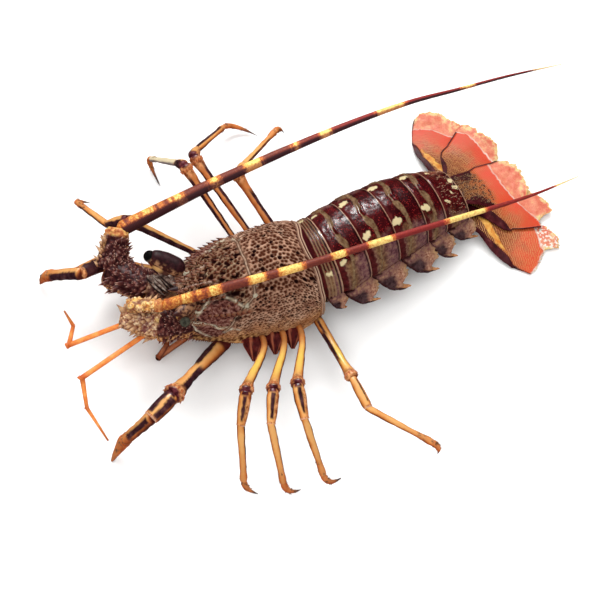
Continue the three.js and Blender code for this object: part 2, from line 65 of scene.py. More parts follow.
# Where each soft light hangs, its width and height in metres, its power, and what it gives: the light
# on the paint or the highlights.
LIGHTS = {
    "key_light": {"from": (-0.62, 0.12, 0.78), "distance": 1.3, "size": (0.95, 0.4), "power": 13,
                  "gives": "light"},
    "overhead_light": {"from": (0.05, -0.1, 1), "distance": 2.0, "size": (3, 3), "power": 54,
                       "gives": "light"},
    "fill_light": {"from": (0.85, -0.25, 0.5), "distance": 1.6, "size": (1.6, 1.2), "power": 8,
                   "gives": "light"},
    "glint_light": {"from": (-0.62, 0.12, 0.78), "distance": 1.3, "size": (0.6, 0.2), "power": 90,
                    "gives": "shine"},
}
SKY_STRENGTH = 0.2
FLOOR_COLOUR = (0.97, 0.968, 0.96, 1)
FLOOR_HALF = 6.0  # from its middle to its edge, in metres
FLOOR_DROP = 0.0003  # how far under z = 0 it lies, in metres
EXPOSURE = 1.45  # how much brighter than its paint a piece in full light comes out


def to_row(points):
    """Drawing frame millimetres to row frame metres."""
    return np.asarray(points, float) * MM + ORIGIN


def add_camera():
    azimuth = math.radians(CAMERA["azimuth"])
    elevation = math.radians(CAMERA["elevation"])
    back = Vector((math.sin(azimuth) * math.cos(elevation),
                   -math.cos(azimuth) * math.cos(elevation), math.sin(elevation)))
    data = bpy.data.cameras.new("camera")
    data.lens = CAMERA["lens"]
    camera = bpy.data.objects.new("camera", data)
    bpy.context.collection.objects.link(camera)
    camera.location = Vector(to_row(CAMERA["target"])) + back * CAMERA["distance"]
    camera.rotation_euler = (-back).to_track_quat("-Z", "Y").to_euler()
    bpy.context.scene.camera = camera


def add_light(name, spec):
    data = bpy.data.lights.new(name, "AREA")
    data.shape = "RECTANGLE"
    data.size, data.size_y = spec["size"]
    data.energy = spec["power"]
    lamp = bpy.data.objects.new(name, data)
    bpy.context.collection.objects.link(lamp)
    direction = Vector(spec["from"]).normalized()
    lamp.location = direction * spec["distance"]
    lamp.rotation_euler = direction.to_track_quat("Z", "Y").to_euler()
    lamp.visible_glossy = spec["gives"] == "shine"
    lamp.visible_diffuse = spec["gives"] == "light"


def add_studio():
    for name, spec in LIGHTS.items():
        add_light(name, spec)
    world = bpy.data.worlds.new("studio")
    world.use_nodes = True
    sky = world.node_tree.nodes["Background"]
    sky.inputs["Color"].default_value = (1, 1, 1, 1)
    sky.inputs["Strength"].default_value = SKY_STRENGTH
    world.cycles_visibility.glossy = False
    bpy.context.scene.world = world
    bpy.context.scene.view_settings.view_transform = "Standard"
    mesh = bpy.data.meshes.new("floor")
    corners = [(x * FLOOR_HALF, y * FLOOR_HALF, 0) for x, y in ((-1, -1), (1, -1), (1, 1), (-1, 1))]
    mesh.from_pydata(corners, [], [(0, 1, 2, 3)])
    floor = bpy.data.objects.new("floor", mesh)
    floor.location.z = -FLOOR_DROP
    floor.visible_glossy = False
    bpy.context.collection.objects.link(floor)
    paint = Paint("floor", Roughness=0.9)
    paint.shader.inputs["Base Color"].default_value = FLOOR_COLOUR
    mesh.materials.append(paint.material)


# ---------------------------------------------------------------------------
# Node materials
# ---------------------------------------------------------------------------

def linear(colour):
    """A colour of 0..255 screen values as linear light, with alpha 1."""
    values = [c / 255 for c in colour]
    light = [c / 12.92 if c <= 0.04045 else ((c + 0.055) / 1.055) ** 2.4 for c in values]
    return tuple(c / EXPOSURE for c in light) + (1,)


class Paint:
    """A node material round one Principled shader, put together from short calls."""

    def __init__(self, name, **constants):
        self.material = bpy.data.materials.new(name)
        self.material.use_nodes = True
        self.tree = self.material.node_tree
        self.shader = self.tree.nodes["Principled BSDF"]
        self.shader.inputs["Specular IOR Level"].default_value = 0.05
        for key, value in constants.items():
            self.shader.inputs[key.replace("_", " ")].default_value = value

    def feed(self, socket, value):
        """Gives a socket a link, a colour of 0..255 screen values or a plain value."""
        if isinstance(value, bpy.types.NodeSocket):
            self.tree.links.new(value, socket)
        elif isinstance(value, tuple) and len(value) == 3:
            socket.default_value = linear(value) if len(socket.default_value) == 4 else value
        else:
            socket.default_value = value

    def node(self, kind, inputs, **settings):
        made = self.tree.nodes.new(kind)
        for key, value in settings.items():
            setattr(made, key, value)
        for key, value in inputs.items():
            self.feed(made.inputs[key], value)
        return made

    def place(self):
        return self.node("ShaderNodeTexCoord", {}).outputs["Object"]

    def value(self, name):
        """A painted value of the mesh, 0 to 1."""
        return self.node("ShaderNodeAttribute", {}, attribute_name=name).outputs["Fac"]

    def noise(self, scale, detail, rough=0.55):
        """A smooth pattern with scale blots to the metre."""
        inputs = {"Vector": self.place(), "Scale": scale, "Detail": detail, "Roughness": rough}
        return self.node("ShaderNodeTexNoise", inputs).outputs["Fac"]

    def cells(self, scale):
        inputs = {"Vector": self.place(), "Scale": scale}
        return self.node("ShaderNodeTexVoronoi", inputs).outputs["Distance"]

    def ramp(self, value, stops):
        made = self.node("ShaderNodeValToRGB", {"Fac": value})
        elements = made.color_ramp.elements
        while len(elements) < len(stops):
            elements.new(0.5)
        for element, (position, colour) in zip(elements, stops):
            element.position = position
            element.color = linear(colour)
        return made.outputs["Color"]

    def mix(self, factor, a, b):
        return self.node("ShaderNodeMix", {0: factor, 6: a, 7: b}, data_type="RGBA").outputs[2]

    def mottle(self, scale, detail, stops):
        """Colours in blots, picked by a noise from (value of the noise, colour) stops."""
        return self.ramp(self.noise(scale, detail), stops)

    def coats(self, colour, *layers):
        """Lays colours over a colour in turn, each as (painted value that says where, colour, strength)."""
        for name, over, strength in layers:
            share = self.value(name)
            if strength < 1:
                share = self.maths("MULTIPLY", share, strength)
            colour = self.mix(share, colour, over)
        return colour

    def maths(self, operation, a, b=0.0):
        return self.node("ShaderNodeMath", {0: a, 1: b}, operation=operation).outputs[0]

    def span(self, value, low, high, to_low=0.0, to_high=1.0):
        """value taken from low..high to to_low..to_high, smoothly and without overshoot."""
        inputs = {"Value": value, "From Min": low, "From Max": high, "To Min": to_low, "To Max": to_high}
        return self.node("ShaderNodeMapRange", inputs, interpolation_type="SMOOTHSTEP").outputs[0]

    def finish(self, colour, roughness, height=None, depth_mm=0.3):
        self.feed(self.shader.inputs["Base Color"], colour)
        self.feed(self.shader.inputs["Roughness"], roughness)
        if height is not None:
            bump = {"Height": height, "Distance": depth_mm * MM, "Strength": 1.0}
            self.feed(self.shader.inputs["Normal"], self.node("ShaderNodeBump", bump).outputs["Normal"])
        return self.material


# ---------------------------------------------------------------------------
# Shape helpers
# ---------------------------------------------------------------------------

def sample_rows(rows, place):
    """Catmull-Rom values of a table of rows, at places from 0 (first row) to the last."""
    rows = np.asarray(rows, float)
    place = np.clip(np.asarray(place, float), 0, len(rows) - 1)
    index = np.minimum(place.astype(int), len(rows) - 2)
    a, b, c, d = (rows[np.clip(index + k, 0, len(rows) - 1)] for k in (-1, 0, 1, 2))
    t = (place - index)[..., None]
    return 0.5 * (2 * b + (c - a) * t + (2 * a - 5 * b + 4 * c - d) * t**2
                  + (3 * b - a - 3 * c + d) * t**3)


def smooth(value, low, high):
    """0 at low and 1 at high, with a soft step between. high may be the smaller one."""
    t = np.clip((np.asarray(value, float) - low) / (high - low), 0, 1)
    return t * t * (3 - 2 * t)


def bell(value, centre, width):
    """1 at centre, falling softly to about a third at one width from it."""
    return np.exp(-(((value - centre) / width) ** 2))


def unit(vectors):
    return vectors / np.maximum(np.linalg.norm(vectors, axis=-1, keepdims=True), 1e-9)


def lattice(cells, seed):
    """A repeatable random number from 0 to 1 for each whole-numbered cell."""
    cells = cells.astype(np.int64)
    mixed = cells[..., 0] * 73856093 ^ cells[..., 1] * 19349663 ^ cells[..., 2] * 83492791
    mixed = (mixed ^ seed * 2654435761) & 0xFFFFFFFF
    mixed = ((mixed ^ mixed >> 15) * 2246822519) & 0xFFFFFFFF
    mixed = ((mixed ^ mixed >> 13) * 3266489917) & 0xFFFFFFFF
    return ((mixed ^ mixed >> 16) & 0xFFFF) / 65536


def cloud(points, size, seed):
    """Smooth random values from 0 to 1 in blobs of about this size. seed only picks the pattern."""
    scaled = np.asarray(points, float) / size
    cell = np.floor(scaled)
    share = scaled - cell
    share = share * share * (3 - 2 * share)
    total = 0.0
    for corner in np.ndindex(2, 2, 2):
        weight = np.prod(np.where(corner, share, 1 - share), axis=-1)
        total = total + weight * lattice(cell + np.array(corner), seed)
    return total


def cloud_along(values, size, seed, row=0):
    """Smooth random values along one line. row picks another line of the same pattern."""
    return cloud(np.stack([values, values * 0, values * 0 + row], -1), size, seed)


def cell_distance(points, size, seed):
    """Distance to the nearest of the scattered cell centres, in units of size."""
    scaled = np.asarray(points, float) / size
    cell = np.floor(scaled)
    near = np.full(scaled.shape[:-1], 9.0)
    for step in np.ndindex(3, 3, 3):
        home = cell + np.array(step) - 1
        centre = home + np.stack([lattice(home, seed + k) for k in range(3)], -1)
        near = np.minimum(near, np.linalg.norm(centre - scaled, axis=-1))
    return near


def line_distance(points, line):
    """Distance of flat points to a run of straight stretches."""
    best = np.full(points.shape[:-1], 1e9)
    for a, b in zip(line[:-1], line[1:]):
        a, b = np.array(a, float), np.array(b, float)
        share = np.clip(((points - a) @ (b - a)) / max((b - a) @ (b - a), 1e-9), 0, 1)
        best = np.minimum(best, np.linalg.norm(points - a - share[..., None] * (b - a), axis=-1))
    return best


def inside(points, outline):
    """Whether flat points lie in an outline."""
    x, y = points[..., 0], points[..., 1]
    result = np.zeros(x.shape, bool)
    for (x0, y0), (x1, y1) in zip(outline, outline[1:] + outline[:1]):
        crosses = (y0 > y) != (y1 > y)
        at = (x1 - x0) * (y - y0) / ((y1 - y0) or 1e-9) + x0
        result ^= crosses & (x < at)
    return result


def grid_normals(points):
    """Outward normals of a grid of points, rows along the body and columns from right to left."""
    along = np.gradient(points, axis=0)
    around = np.gradient(points, axis=1)
    return unit(np.cross(around, along))


class Skin:
    """Points, faces and painted values of one piece, gathered part by part."""

    def __init__(self):
        self.points = []
        self.faces = []
        self.values = []
        self.count = 0

    def add(self, points, faces, **values):
        points = np.asarray(points, float).reshape(-1, 3)
        self.faces += [np.asarray(f, int) + self.count for f in faces if len(f)]
        self.points.append(points)
        painted = {}
        for key, value in values.items():
            painted[key] = np.broadcast_to(np.asarray(value, float).reshape(-1), (len(points),))
        self.values.append(painted)
        self.count += len(points)

    def add_spines(self, bases, directions, heights, radii, sides):
        points, faces, tip = spikes(bases, directions, heights, radii, sides)
        self.add(points, faces, tip=tip, spine=1)

    def build(self, name, material, slot, nodes):
        """Makes the piece, which stands for these CAD nodes."""
        points = to_row(np.concatenate(self.points))
        corners = np.concatenate([f.ravel() for f in self.faces])
        sizes = np.concatenate([np.full(len(f), f.shape[1]) for f in self.faces])
        mesh = bpy.data.meshes.new(name)
        mesh.vertices.add(len(points))
        mesh.vertices.foreach_set("co", points.ravel())
        mesh.loops.add(len(corners))
        mesh.loops.foreach_set("vertex_index", corners)
        mesh.polygons.add(len(sizes))
        mesh.polygons.foreach_set("loop_start", np.concatenate([[0], np.cumsum(sizes)[:-1]]))
        mesh.update(calc_edges=True)
        mesh.polygons.foreach_set("use_smooth", np.ones(len(sizes), bool))
        for key in sorted({k for values in self.values for k in values}):
            painted = [values.get(key, np.zeros(len(p))) for values, p in zip(self.values, self.points)]
            layer = mesh.attributes.new(key, "FLOAT", "POINT")
            layer.data.foreach_set("value", np.concatenate(painted).astype(np.float32))
        mesh.materials.append(material)
        piece = bpy.data.objects.new(name, mesh)
        bpy.context.collection.objects.link(piece)
        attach(piece, "root")
        if nodes:
            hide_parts(*nodes)
        return piece


def grid_faces(rows, columns, wrapped=False):
    row = np.arange(rows - 1)[:, None]
    column = np.arange(columns if wrapped else columns - 1)[None, :]
    after = (column + 1) % columns
    a = row * columns + column
    b = row * columns + after
    return np.stack([a, b, b + columns, a + columns], -1).reshape(-1, 4)


def closed_tube(rings):
    """Points and faces of a grid of closed rings, with both ends filled by a fan."""
    rows, columns = rings.shape[:2]
    points = np.concatenate([rings.reshape(-1, 3), rings[:1].mean(1), rings[-1:].mean(1)])
    near = np.arange(columns)
    after = (near + 1) % columns
    first = np.stack([np.full(columns, rows * columns), after, near], -1)
    last_row = (rows - 1) * columns
    last = np.stack([np.full(columns, rows * columns + 1), near + last_row, after + last_row], -1)
    return points, [grid_faces(rows, columns, True), first, last]


def folded_sheet(rings):
    """Points and faces of rings that run out along a top and back along its underside."""
    rows, columns = rings.shape[:2]
    lane = np.arange(columns // 2 - 1)
    last = np.stack([lane, lane + 1, columns - 2 - lane, columns - 1 - lane], -1)
    faces = [grid_faces(rows, columns, True), last[:, ::-1], last + (rows - 1) * columns]
    return rings.reshape(-1, 3), faces


def both_faces(value):
    """A painted value of a sheet's top, repeated for the way back along its underside."""
    return np.concatenate([value, value[:, ::-1]], 1)


def ring_frames(directions):
    """Along, across and up of each place on a path, also where the path is upright."""
    along = unit(directions)
    across = unit(np.cross(along, UP + np.array([0, 1e-3, 0])))
    return along, across, np.cross(across, along)


def circle(sides):
    """The angles of points spaced evenly round a circle."""
    return np.linspace(0, 2 * math.pi, sides, endpoint=False)


def spokes(angle, across, rise, flat=1.0):
    """The way out at each angle from each place on a path, as a grid of rings."""
    sideways = np.cos(angle)[None, :, None] * across[:, None]
    return sideways + np.sin(angle)[None, :, None] * rise[:, None] * flat


def per_ring(values, rings):
    """One value for each ring, spread round it."""
    return np.broadcast_to(values[:, None], rings.shape[:2])


def path_places(points, count):
    """Evenly spaced places along a smooth path through points, and how far along they are."""
    dense = np.linspace(0, len(points) - 1, 60 * len(points))
    steps = np.linalg.norm(np.diff(sample_rows(points, dense), axis=0), axis=1)
    reach = np.concatenate([[0], np.cumsum(steps)])
    wanted = np.linspace(0, reach[-1], count)
    return np.interp(wanted, reach, dense), wanted


def tube_rings(points, radii, rows, sides, flat=1.0):
    """Rings round a smooth path, how far along each one is, and the way out at each of its points."""
    place, reach = path_places(points, rows)
    centres = sample_rows(points, place)
    radius = sample_rows(np.asarray(radii, float)[:, None], place)[:, 0]
    _, across, rise = ring_frames(np.gradient(centres, axis=0))
    out = spokes(circle(sides), across, rise, flat)
    return centres[:, None] + out * radius[:, None, None], reach, unit(out)


def end_values(values):
    """Painted values of a closed tube: those of its rings, then one for each end."""
    values = np.asarray(values, float)
    return np.concatenate([values.ravel(), values[0].mean(keepdims=True), values[-1].mean(keepdims=True)])


# The rings of a spine as (share of its height, share of its radius), below the point.
SPIKE_PROFILE = [(-0.25, 1.15), (0.12, 0.9), (0.5, 0.45), (0.85, 0.16)]


def spikes(bases, directions, heights, radii, sides):
    """Pointed spines as closed cones with slightly hollow flanks, and a tip value from 0 to 1."""
    bases = np.asarray(bases, float).reshape(-1, 3)
    count = len(bases)
    along, across, rise = ring_frames(np.broadcast_to(directions, bases.shape))
    heights = np.broadcast_to(heights, (count,))
    radii = np.broadcast_to(radii, (count,))
    ring = spokes(circle(sides), across, rise)
    rings = []
    for share, width in SPIKE_PROFILE:
        centre = bases + along * (heights * share)[:, None]
        rings.append(centre[:, None] + ring * (radii * width)[:, None, None])
    tips = bases + along * heights[:, None]
    body = np.stack(rings, 1).reshape(count, -1, 3)
    points = np.concatenate([body, tips[:, None]], 1)
    per_spike = points.shape[1]
    walls = grid_faces(len(SPIKE_PROFILE), sides, True)
    near = np.arange(sides)
    top = (len(SPIKE_PROFILE) - 1) * sides
    fan = np.stack([near + top, (near + 1) % sides + top, np.full(sides, per_spike - 1)], -1)
    offsets = (np.arange(count) * per_spike)[:, None, None]
    tip = np.concatenate([np.repeat([share for share, _ in SPIKE_PROFILE], sides), [1.0]])
    faces = [(walls[None] + offsets).reshape(-1, 4), (fan[None] + offsets).reshape(-1, 3)]
    return points.reshape(-1, 3), faces, np.tile(np.clip(tip, 0, 1), count)


# ---------------------------------------------------------------------------
# Carapace
# ---------------------------------------------------------------------------

# y, half-width, lowest edge, height of the widest line and top, from front to rear.
CARAPACE = [
    (-90, 22, 31, 44, 64),
    (-80, 28, 23, 41, 68.5),
    (-62, 35, 16.5, 37, 73),
    (-36, 39.5, 13, 34, 75.5),
    (-10, 41.5, 12, 33, 75),
    (6, 39, 14, 34, 71.5),
    (14, 35.5, 17, 35, 68.5),
]
ROUNDNESS = 2.05
EDGE_TUCK = 0.05
ARCH_SHARE = 0.72  # the part of the way from the top to the lower edge that the arch takes
SHELL_ROWS = 238
SHELL_COLUMNS = 396
CORNER_MM = 9.0  # how far the front lower corners reach past the front edge of the back
TURN_MM = 95.0  # length of shell from the back to the lower edge, in the middle
# Lines and outlines on the shell as (y, turn): turn is 0 on the back and 1 at the lower edge.
NECK_GROOVE = [(-36.5, 0), (-37.2, 0.06), (-37, 0.14), (-36.5, 0.24), (-38, 0.33), (-45.9, 0.41),
               (-50, 0.46), (-55.5, 0.51), (-60.3, 0.61), (-66, 0.7)]
CHEEK_OUTLINE = [(-85, 0.54), (-76, 0.36), (-69, 0.28), (-58, 0.3), (-49, 0.41), (-56, 0.5), (-63, 0.6),
                 (-75, 0.57)]
JAW_OUTLINE = [(-88, 0.7), (-86, 0.62), (-76, 0.6), (-67, 0.66), (-64, 0.72), (-69, 0.78), (-78, 0.88),
               (-84, 0.8)]
VEINS = [
    [(-72, 0.29), (-79, 0.4), (-86, 0.52), (-88, 0.59), (-80, 0.57), (-74, 0.58), (-69, 0.64), (-63, 0.62)],
    [(-88, 0.61), (-85, 0.7), (-79, 0.8), (-74, 0.9)],
    [(-66, 0.71), (-60, 0.64), (-54, 0.68)],
    [(-60, 0.27), (-53, 0.33), (-48, 0.41)],
]
RIDGES = [[(-90, 0.05), (-82.5, 0.05), (-69.4, 0.09), (-62, 0.1)],
          [(-88, 0.2), (-82.3, 0.24), (-68, 0.28), (-60, 0.26)]]
# Dark, slightly sunken places as (y, turn, radius).
DARK_SPOTS = [(-84, 0.53, 3.5), (-89, 0.66, 4), (-90, 0.86, 6), (-90, 0.94, 4.5), (-84, 0.88, 4),
        (-62, 0.41, 3.2), (-86, 0.14, 5), (-74, 0.19, 3), (-70, 0.02, 3.5), (-58, 0.12, 2.6),
        (-56, 0.28, 4.5), (-52, 0.49, 2.6), (-55, 0.53, 2.4), (-68, 0.31, 2.4), (-78, 0.3, 2.6)]
PALE = [(-34, 0.25, 1.4), (-37.5, 0.33, 1.5), (-46, 0.415, 2.6), (-82, 0.4, 2.8), (-86, 0.3, 3),
        (-80, 0.15, 2.4)]
CRATERS = [(-57.4, 0.1, 2.6), (-47.6, 0.11, 2.0), (-40.6, 0.08, 1.8), (-51.6, 0.27, 1.8),
           (-55.5, 0.05, 2.0), (-66, 0.05, 1.6), (-64, 0.2, 1.8), (-46, 0.2, 1.5), (-73, 0.13, 1.6)]
# The rolled lower edge, then its inner rim: share of the half-width, and millimetres upward.
ROLLED_EDGE = [(0.94, -0.6), (0.8, 5.0)]
HEM_NOTCH_MM = 4.2  # from tooth to tooth along the lower edge
# How far round the front of the shell is seen before it turns under, as (y, turn).
HEM_EDGE = [(-80, 1.0), (-73, 0.967), (-66, 0.957), (-55, 0.933), (-47, 0.885), (-34, 0.87)]
HEM_FADE = (-34, -46)  # between these the notched hem fades in towards the head, as y
HEX_ROW = 0.866  # from row to row in a six-sided layout, for a pitch of 1
PIT_STRAY = 0.55  # how far a pit may lie off its place in that layout, as a share of its cell


def carapace_point(place, turn):
    rows = sample_rows(CARAPACE, place)
    y, half, low, wide, top = np.moveaxis(rows, -1, 0)
    side = np.sign(turn)
    share = np.abs(turn)
    angle = (1 - np.clip(share / ARCH_SHARE, 0, 1)) * math.pi / 2
    drop = np.clip((share - ARCH_SHARE) / (1 - ARCH_SHARE), 0, 1)
    x = half * np.cos(angle) ** (2 / ROUNDNESS) * (1 - EDGE_TUCK * drop**2)
    z = wide + (top - wide) * np.sin(angle) ** (2 / ROUNDNESS) + (low - wide) * drop
    y = y - CORNER_MM * smooth(share, 0.5, 0.85) * smooth(y, -72, -90)
    return np.stack([side * x, y, z], -1)


def carapace_normal(place, turn):
    step = 0.01
    along = carapace_point(place + step, turn) - carapace_point(place - step, turn)
    around = carapace_point(place, turn + step) - carapace_point(place, turn - step)
    return unit(np.cross(around, along))


def on_shell(line):
    return [(y, turn * TURN_MM) for y, turn in line]


def pit_pattern(across, along, pitch, seed):
    """Distance of each place from the middle of its pit, in pitches, and a random number for each pit."""
    row_height = pitch * HEX_ROW
    row = np.floor(across / row_height)
    best = np.full(across.shape, 9.0)
    luck = np.zeros(across.shape)
    for row_step in (-1, 0, 1):
        here = row + row_step
        shift = 0.5 * (here % 2)
        column = np.floor(along / pitch - shift)
        for column_step in (-1, 0, 1):
            cell = np.stack([here, column + column_step, here * 0], -1)
            centre_across = (here + 0.5 + PIT_STRAY * (lattice(cell, seed) - 0.5)) * row_height
            stray = PIT_STRAY * (lattice(cell, seed + 1) - 0.5)
            centre_along = (column + column_step + shift + 0.5 + stray) * pitch
            distance = np.hypot(across - centre_across, (along - centre_along) * 0.82) / pitch
            closer = distance < best
            best = np.where(closer, distance, best)
            luck = np.where(closer, lattice(cell, seed + 2), luck)
    return best, luck


def rim_start(turn):
    """y of the smooth rear rim, which runs further forward on the back."""
    return 7.6 + 3.4 * smooth(np.abs(turn), 0.02, 0.3)


def hem_notches(y, share):
    """Rows of short dark gaps between the teeth above the lower edge."""
    edge = np.interp(y, *zip(*HEM_EDGE))
    phase = y / HEM_NOTCH_MM + share * 6
    upper = bell((phase + 0.5) % 1, 0.5, 0.27) * bell(share, edge - 0.1, 0.027)
    lower = bell(phase % 1, 0.5, 0.27) * bell(share, edge - 0.035, 0.042)
    return np.maximum(upper, lower) * smooth(y, *HEM_FADE)


def shell_marks(points, turn, girth=None):
    """Painted values of the carapace at these points, by name. girth is the way round from the back."""
    y = points[..., 1]
    share = np.abs(turn)
    girth = share * TURN_MM if girth is None else girth
    flat = np.stack([y, share * TURN_MM], -1)
    wobble = (cloud(points, 4, 7) - 0.5) * 3.0
    fine_wobble = (cloud(points, 1.6, 8) - 0.5) * 1.2
    patch = np.zeros(y.shape)
    for outline in (CHEEK_OUTLINE, JAW_OUTLINE):
        patch = np.maximum(patch, inside(flat + wobble[..., None], on_shell(outline)))

    def strokes(table, stray):
        """Narrow lines on the shell, which leave their drawn lines by stray millimetres."""
        return np.max([bell(line_distance(flat, on_shell(line)) + stray, 0, 1.1) for line in table], axis=0)

    def blots(table, size=1.0):
        """Ragged round spots, longer towards the head and tail where size is under 1."""
        total = np.zeros(y.shape)
        for spot_y, spot_turn, radius in table:
            distance = np.hypot((y - spot_y) * size, (share - spot_turn) * TURN_MM) + wobble + fine_wobble
            total = np.maximum(total, 1 - smooth(distance, radius * 0.55, radius * 1.15))
        return total

    groove = line_distance(flat, on_shell(NECK_GROOVE)) + fine_wobble * 0.3
    low = smooth(share + (cloud(points, 10, 3) - 0.5) * 0.1, 0.56, 0.8)
    front = smooth(y, -40, -46) * smooth(share, 0.52, 0.42)
    upper, upper_luck = pit_pattern(girth * 0.84, y, 3.1, 11)
    lower, lower_luck = pit_pattern(girth, y, 2.4, 12)
    lowest, _ = pit_pattern(girth, y, 2.1, 13)
    flank = smooth(share + (cloud(points, 14, 4) - 0.5) * 0.1, 0.3, 0.42)
    pit = upper + (lower - upper) * flank
    pit = pit + (lowest - pit) * low
    luck = np.where(flank > 0.5, lower_luck, upper_luck)
    size = 0.37 + 0.16 * (luck - 0.5) + 0.08 * (1 - flank) - 0.02 * low
    hole = 1 - smooth(pit, size * 0.55, size * 1.2)
    deep = hole * (luck > 0.87) * (1 - low)
    rim_mm = y - rim_start(turn)
    plain = 1 - np.maximum(patch, smooth(rim_mm, -0.8, 0.0))
    bare = 1 - 0.75 * bell(groove, 0, 2.0)
    vein = strokes(VEINS, wobble * 0.3) * (1 - 0.5 * cloud(points, 2.5, 9))
    hem_start = np.interp(y, *zip(*HEM_EDGE)) - fine_wobble * 0.03
    return {
        "hole": hole * plain * bare,
        "deep": np.maximum(deep * plain * bare, blots(CRATERS, 0.6)),
        "low": low, "front": front, "patch": patch,
        "vein": vein, "ridge": strokes(RIDGES, fine_wobble * 0.5),
        "soot": blots(DARK_SPOTS), "pale": blots(PALE),
        "groove": bell(groove, 0.9, 0.6) * (y < rim_start(turn)),
        "groove_lip": bell(groove, -0.2, 0.5) * (0.4 + 0.6 * cloud(points, 5, 14)),
        "rim": smooth(rim_mm, -0.6, 0.2),
        "rim_line": bell(rim_mm, 0.5, 0.45) + bell(rim_mm, 2.3, 0.4),
        "rim_gap": bell(rim_mm, 1.4, 0.4) + smooth(rim_mm, 2.7, 3.3) + bell(rim_mm, -0.9, 0.5) * 0.7,
        "hem": smooth(share - hem_start, -0.11, -0.08) * smooth(y, *HEM_FADE),
        "notch": hem_notches(y + fine_wobble * 0.8, share),
    }


def shell_relief(marks, points):
    """How far the shell's surface stands out, in millimetres."""
    relief = -0.7 * marks["hole"] - 0.7 * marks["deep"] - 1.2 * marks["groove"] + 0.35 * marks["groove_lip"]
    relief = relief + 0.6 * marks["vein"] + 0.9 * marks["ridge"] + 0.5 * marks["rim"]
    relief = relief - 0.7 * marks["rim_gap"] - 0.9 * marks["soot"] + 0.5 * marks["pale"]
    relief = relief + (cloud(points, 9, 21) - 0.5) * 1.4
    rough = (cloud(points, 3.2, 22) - 0.5) * 1.1 + (cloud(points, 1.5, 23) - 0.5) * 0.5
    return relief + rough * np.clip(0.25 + marks["front"] + marks["patch"], 0, 1)


def carapace_skin(skin):
    place = np.linspace(0, len(CARAPACE) - 1, SHELL_ROWS)[:, None]
    turn = np.linspace(-1, 1, SHELL_COLUMNS)[None, :]
    place, turn = np.broadcast_arrays(place, turn)
    points = carapace_point(place, turn)
    steps = np.linalg.norm(np.diff(points, axis=1), axis=-1)
    girth = np.concatenate([np.zeros((SHELL_ROWS, 1)), np.cumsum(steps, axis=1)], 1)
    marks = shell_marks(points, turn, girth)
    outer = points + grid_normals(points) * shell_relief(marks, points)[..., None]
    # the lower edge is rolled in and the underside is closed across
    (edge_in, edge_up), (inner_in, inner_up) = ROLLED_EDGE
    rolled = outer[:, [-1, -1, 0, 0]].copy()
    rolled[:, :, 0] *= np.array([edge_in, inner_in, inner_in, edge_in])
    rolled[:, :, 2] += np.array([edge_up, inner_up, inner_up, edge_up])
    closed, faces = closed_tube(np.concatenate([outer, rolled], 1))
    hidden = np.zeros((SHELL_ROWS, rolled.shape[1]))
    painted = {key: end_values(np.concatenate([value, hidden], 1)) for key, value in marks.items()}
    skin.add(closed, faces, **painted)


def shell_spines(skin, seed=5):
    """Small forward-leaning spines all over, larger ones towards the front."""
    random = np.random.default_rng(seed)
    along, around = np.linspace(0.12, 5.0, 26), np.linspace(-0.72, 0.72, 44)
    place, turn = np.meshgrid(along, around, indexing="ij")
    place = (place + random.uniform(-0.09, 0.09, place.shape)).ravel()
    turn = (turn + random.uniform(-0.015, 0.015, turn.shape)).ravel()
    bases = carapace_point(place, turn)
    marks = shell_marks(bases, turn)
    keep = (marks["patch"] < 0.5) & (marks["rim"] < 0.2) & (marks["groove"] < 0.3) & (marks["deep"] < 0.3)
    keep &= random.uniform(0, 1, len(place)) < 0.75
    place, turn, bases = place[keep], turn[keep], bases[keep]
    normals = carapace_normal(place, turn)
    front = smooth(bases[:, 1], -20, -70) * smooth(np.abs(turn), 0.62, 0.4)
    size = random.uniform(0.6, 1.3, len(bases))
    heights = (1.6 + 2.2 * front) * size
    lean = unit(normals * 0.7 + FORWARD * 0.9)
    skin.add_spines(bases - normals * 0.3, lean, heights, (0.55 + 0.5 * front) * size, 5)


def spine_row(skin, line, count, span, width, up, seed):
    """A row of spines along a line on both sides of the shell."""
    random = np.random.default_rng(seed)
    ys, turns = np.array(line).T
    share = np.linspace(0, 1, count)
    y = np.interp(share, np.linspace(0, 1, len(ys)), ys)
    turn = np.interp(share, np.linspace(0, 1, len(ys)), turns)
    places = np.interp(y, [row[0] for row in CARAPACE], np.arange(len(CARAPACE)))
    height = np.interp(share, [0, 1], span) * random.uniform(0.85, 1.15, count)
    for side in (-1, 1):
        normal = carapace_normal(places, turn * side)
        lean = unit(normal * up + FORWARD * 0.9)
        bases = carapace_point(places, turn * side) - normal * 0.5
        skin.add_spines(bases, lean, height + 0.5, height * width + 0.2, 7)


# Rows of large spines: the line as (y, turn), how many, the first and last height in millimetres, the
# radius as a share of the height, and how far they stand up. The last row is the teeth along the front
# lower edge.
SPINE_ROWS = [
    ([(-88, 0.17), (-74, 0.27), (-60, 0.27)], 9, (4.4, 3.0), 0.36, 0.7),
    ([(-88, 0.06), (-70, 0.09), (-40, 0.1)], 9, (4.2, 3.0), 0.36, 0.7),
    ([(-72, 0.45), (-58, 0.46), (-44, 0.46)], 8, (4.0, 5.6), 0.36, 0.7),
    ([(-84, 0.36), (-70, 0.38), (-52, 0.36)], 7, (3.0, 2.4), 0.36, 0.7),
    ([(-30, 0.2), (0, 0.22)], 8, (2.4, 1.6), 0.34, 0.7),
    ([(-28, 0.38), (0, 0.4)], 8, (2.4, 1.6), 0.34, 0.7),
    ([(-89, 0.93), (-74, 0.985), (-52, 0.99)], 30, (2.2, 1.1), 0.3, 1.0),
]


HORN_GRID = (30, 26)  # rings along a horn, and points round it
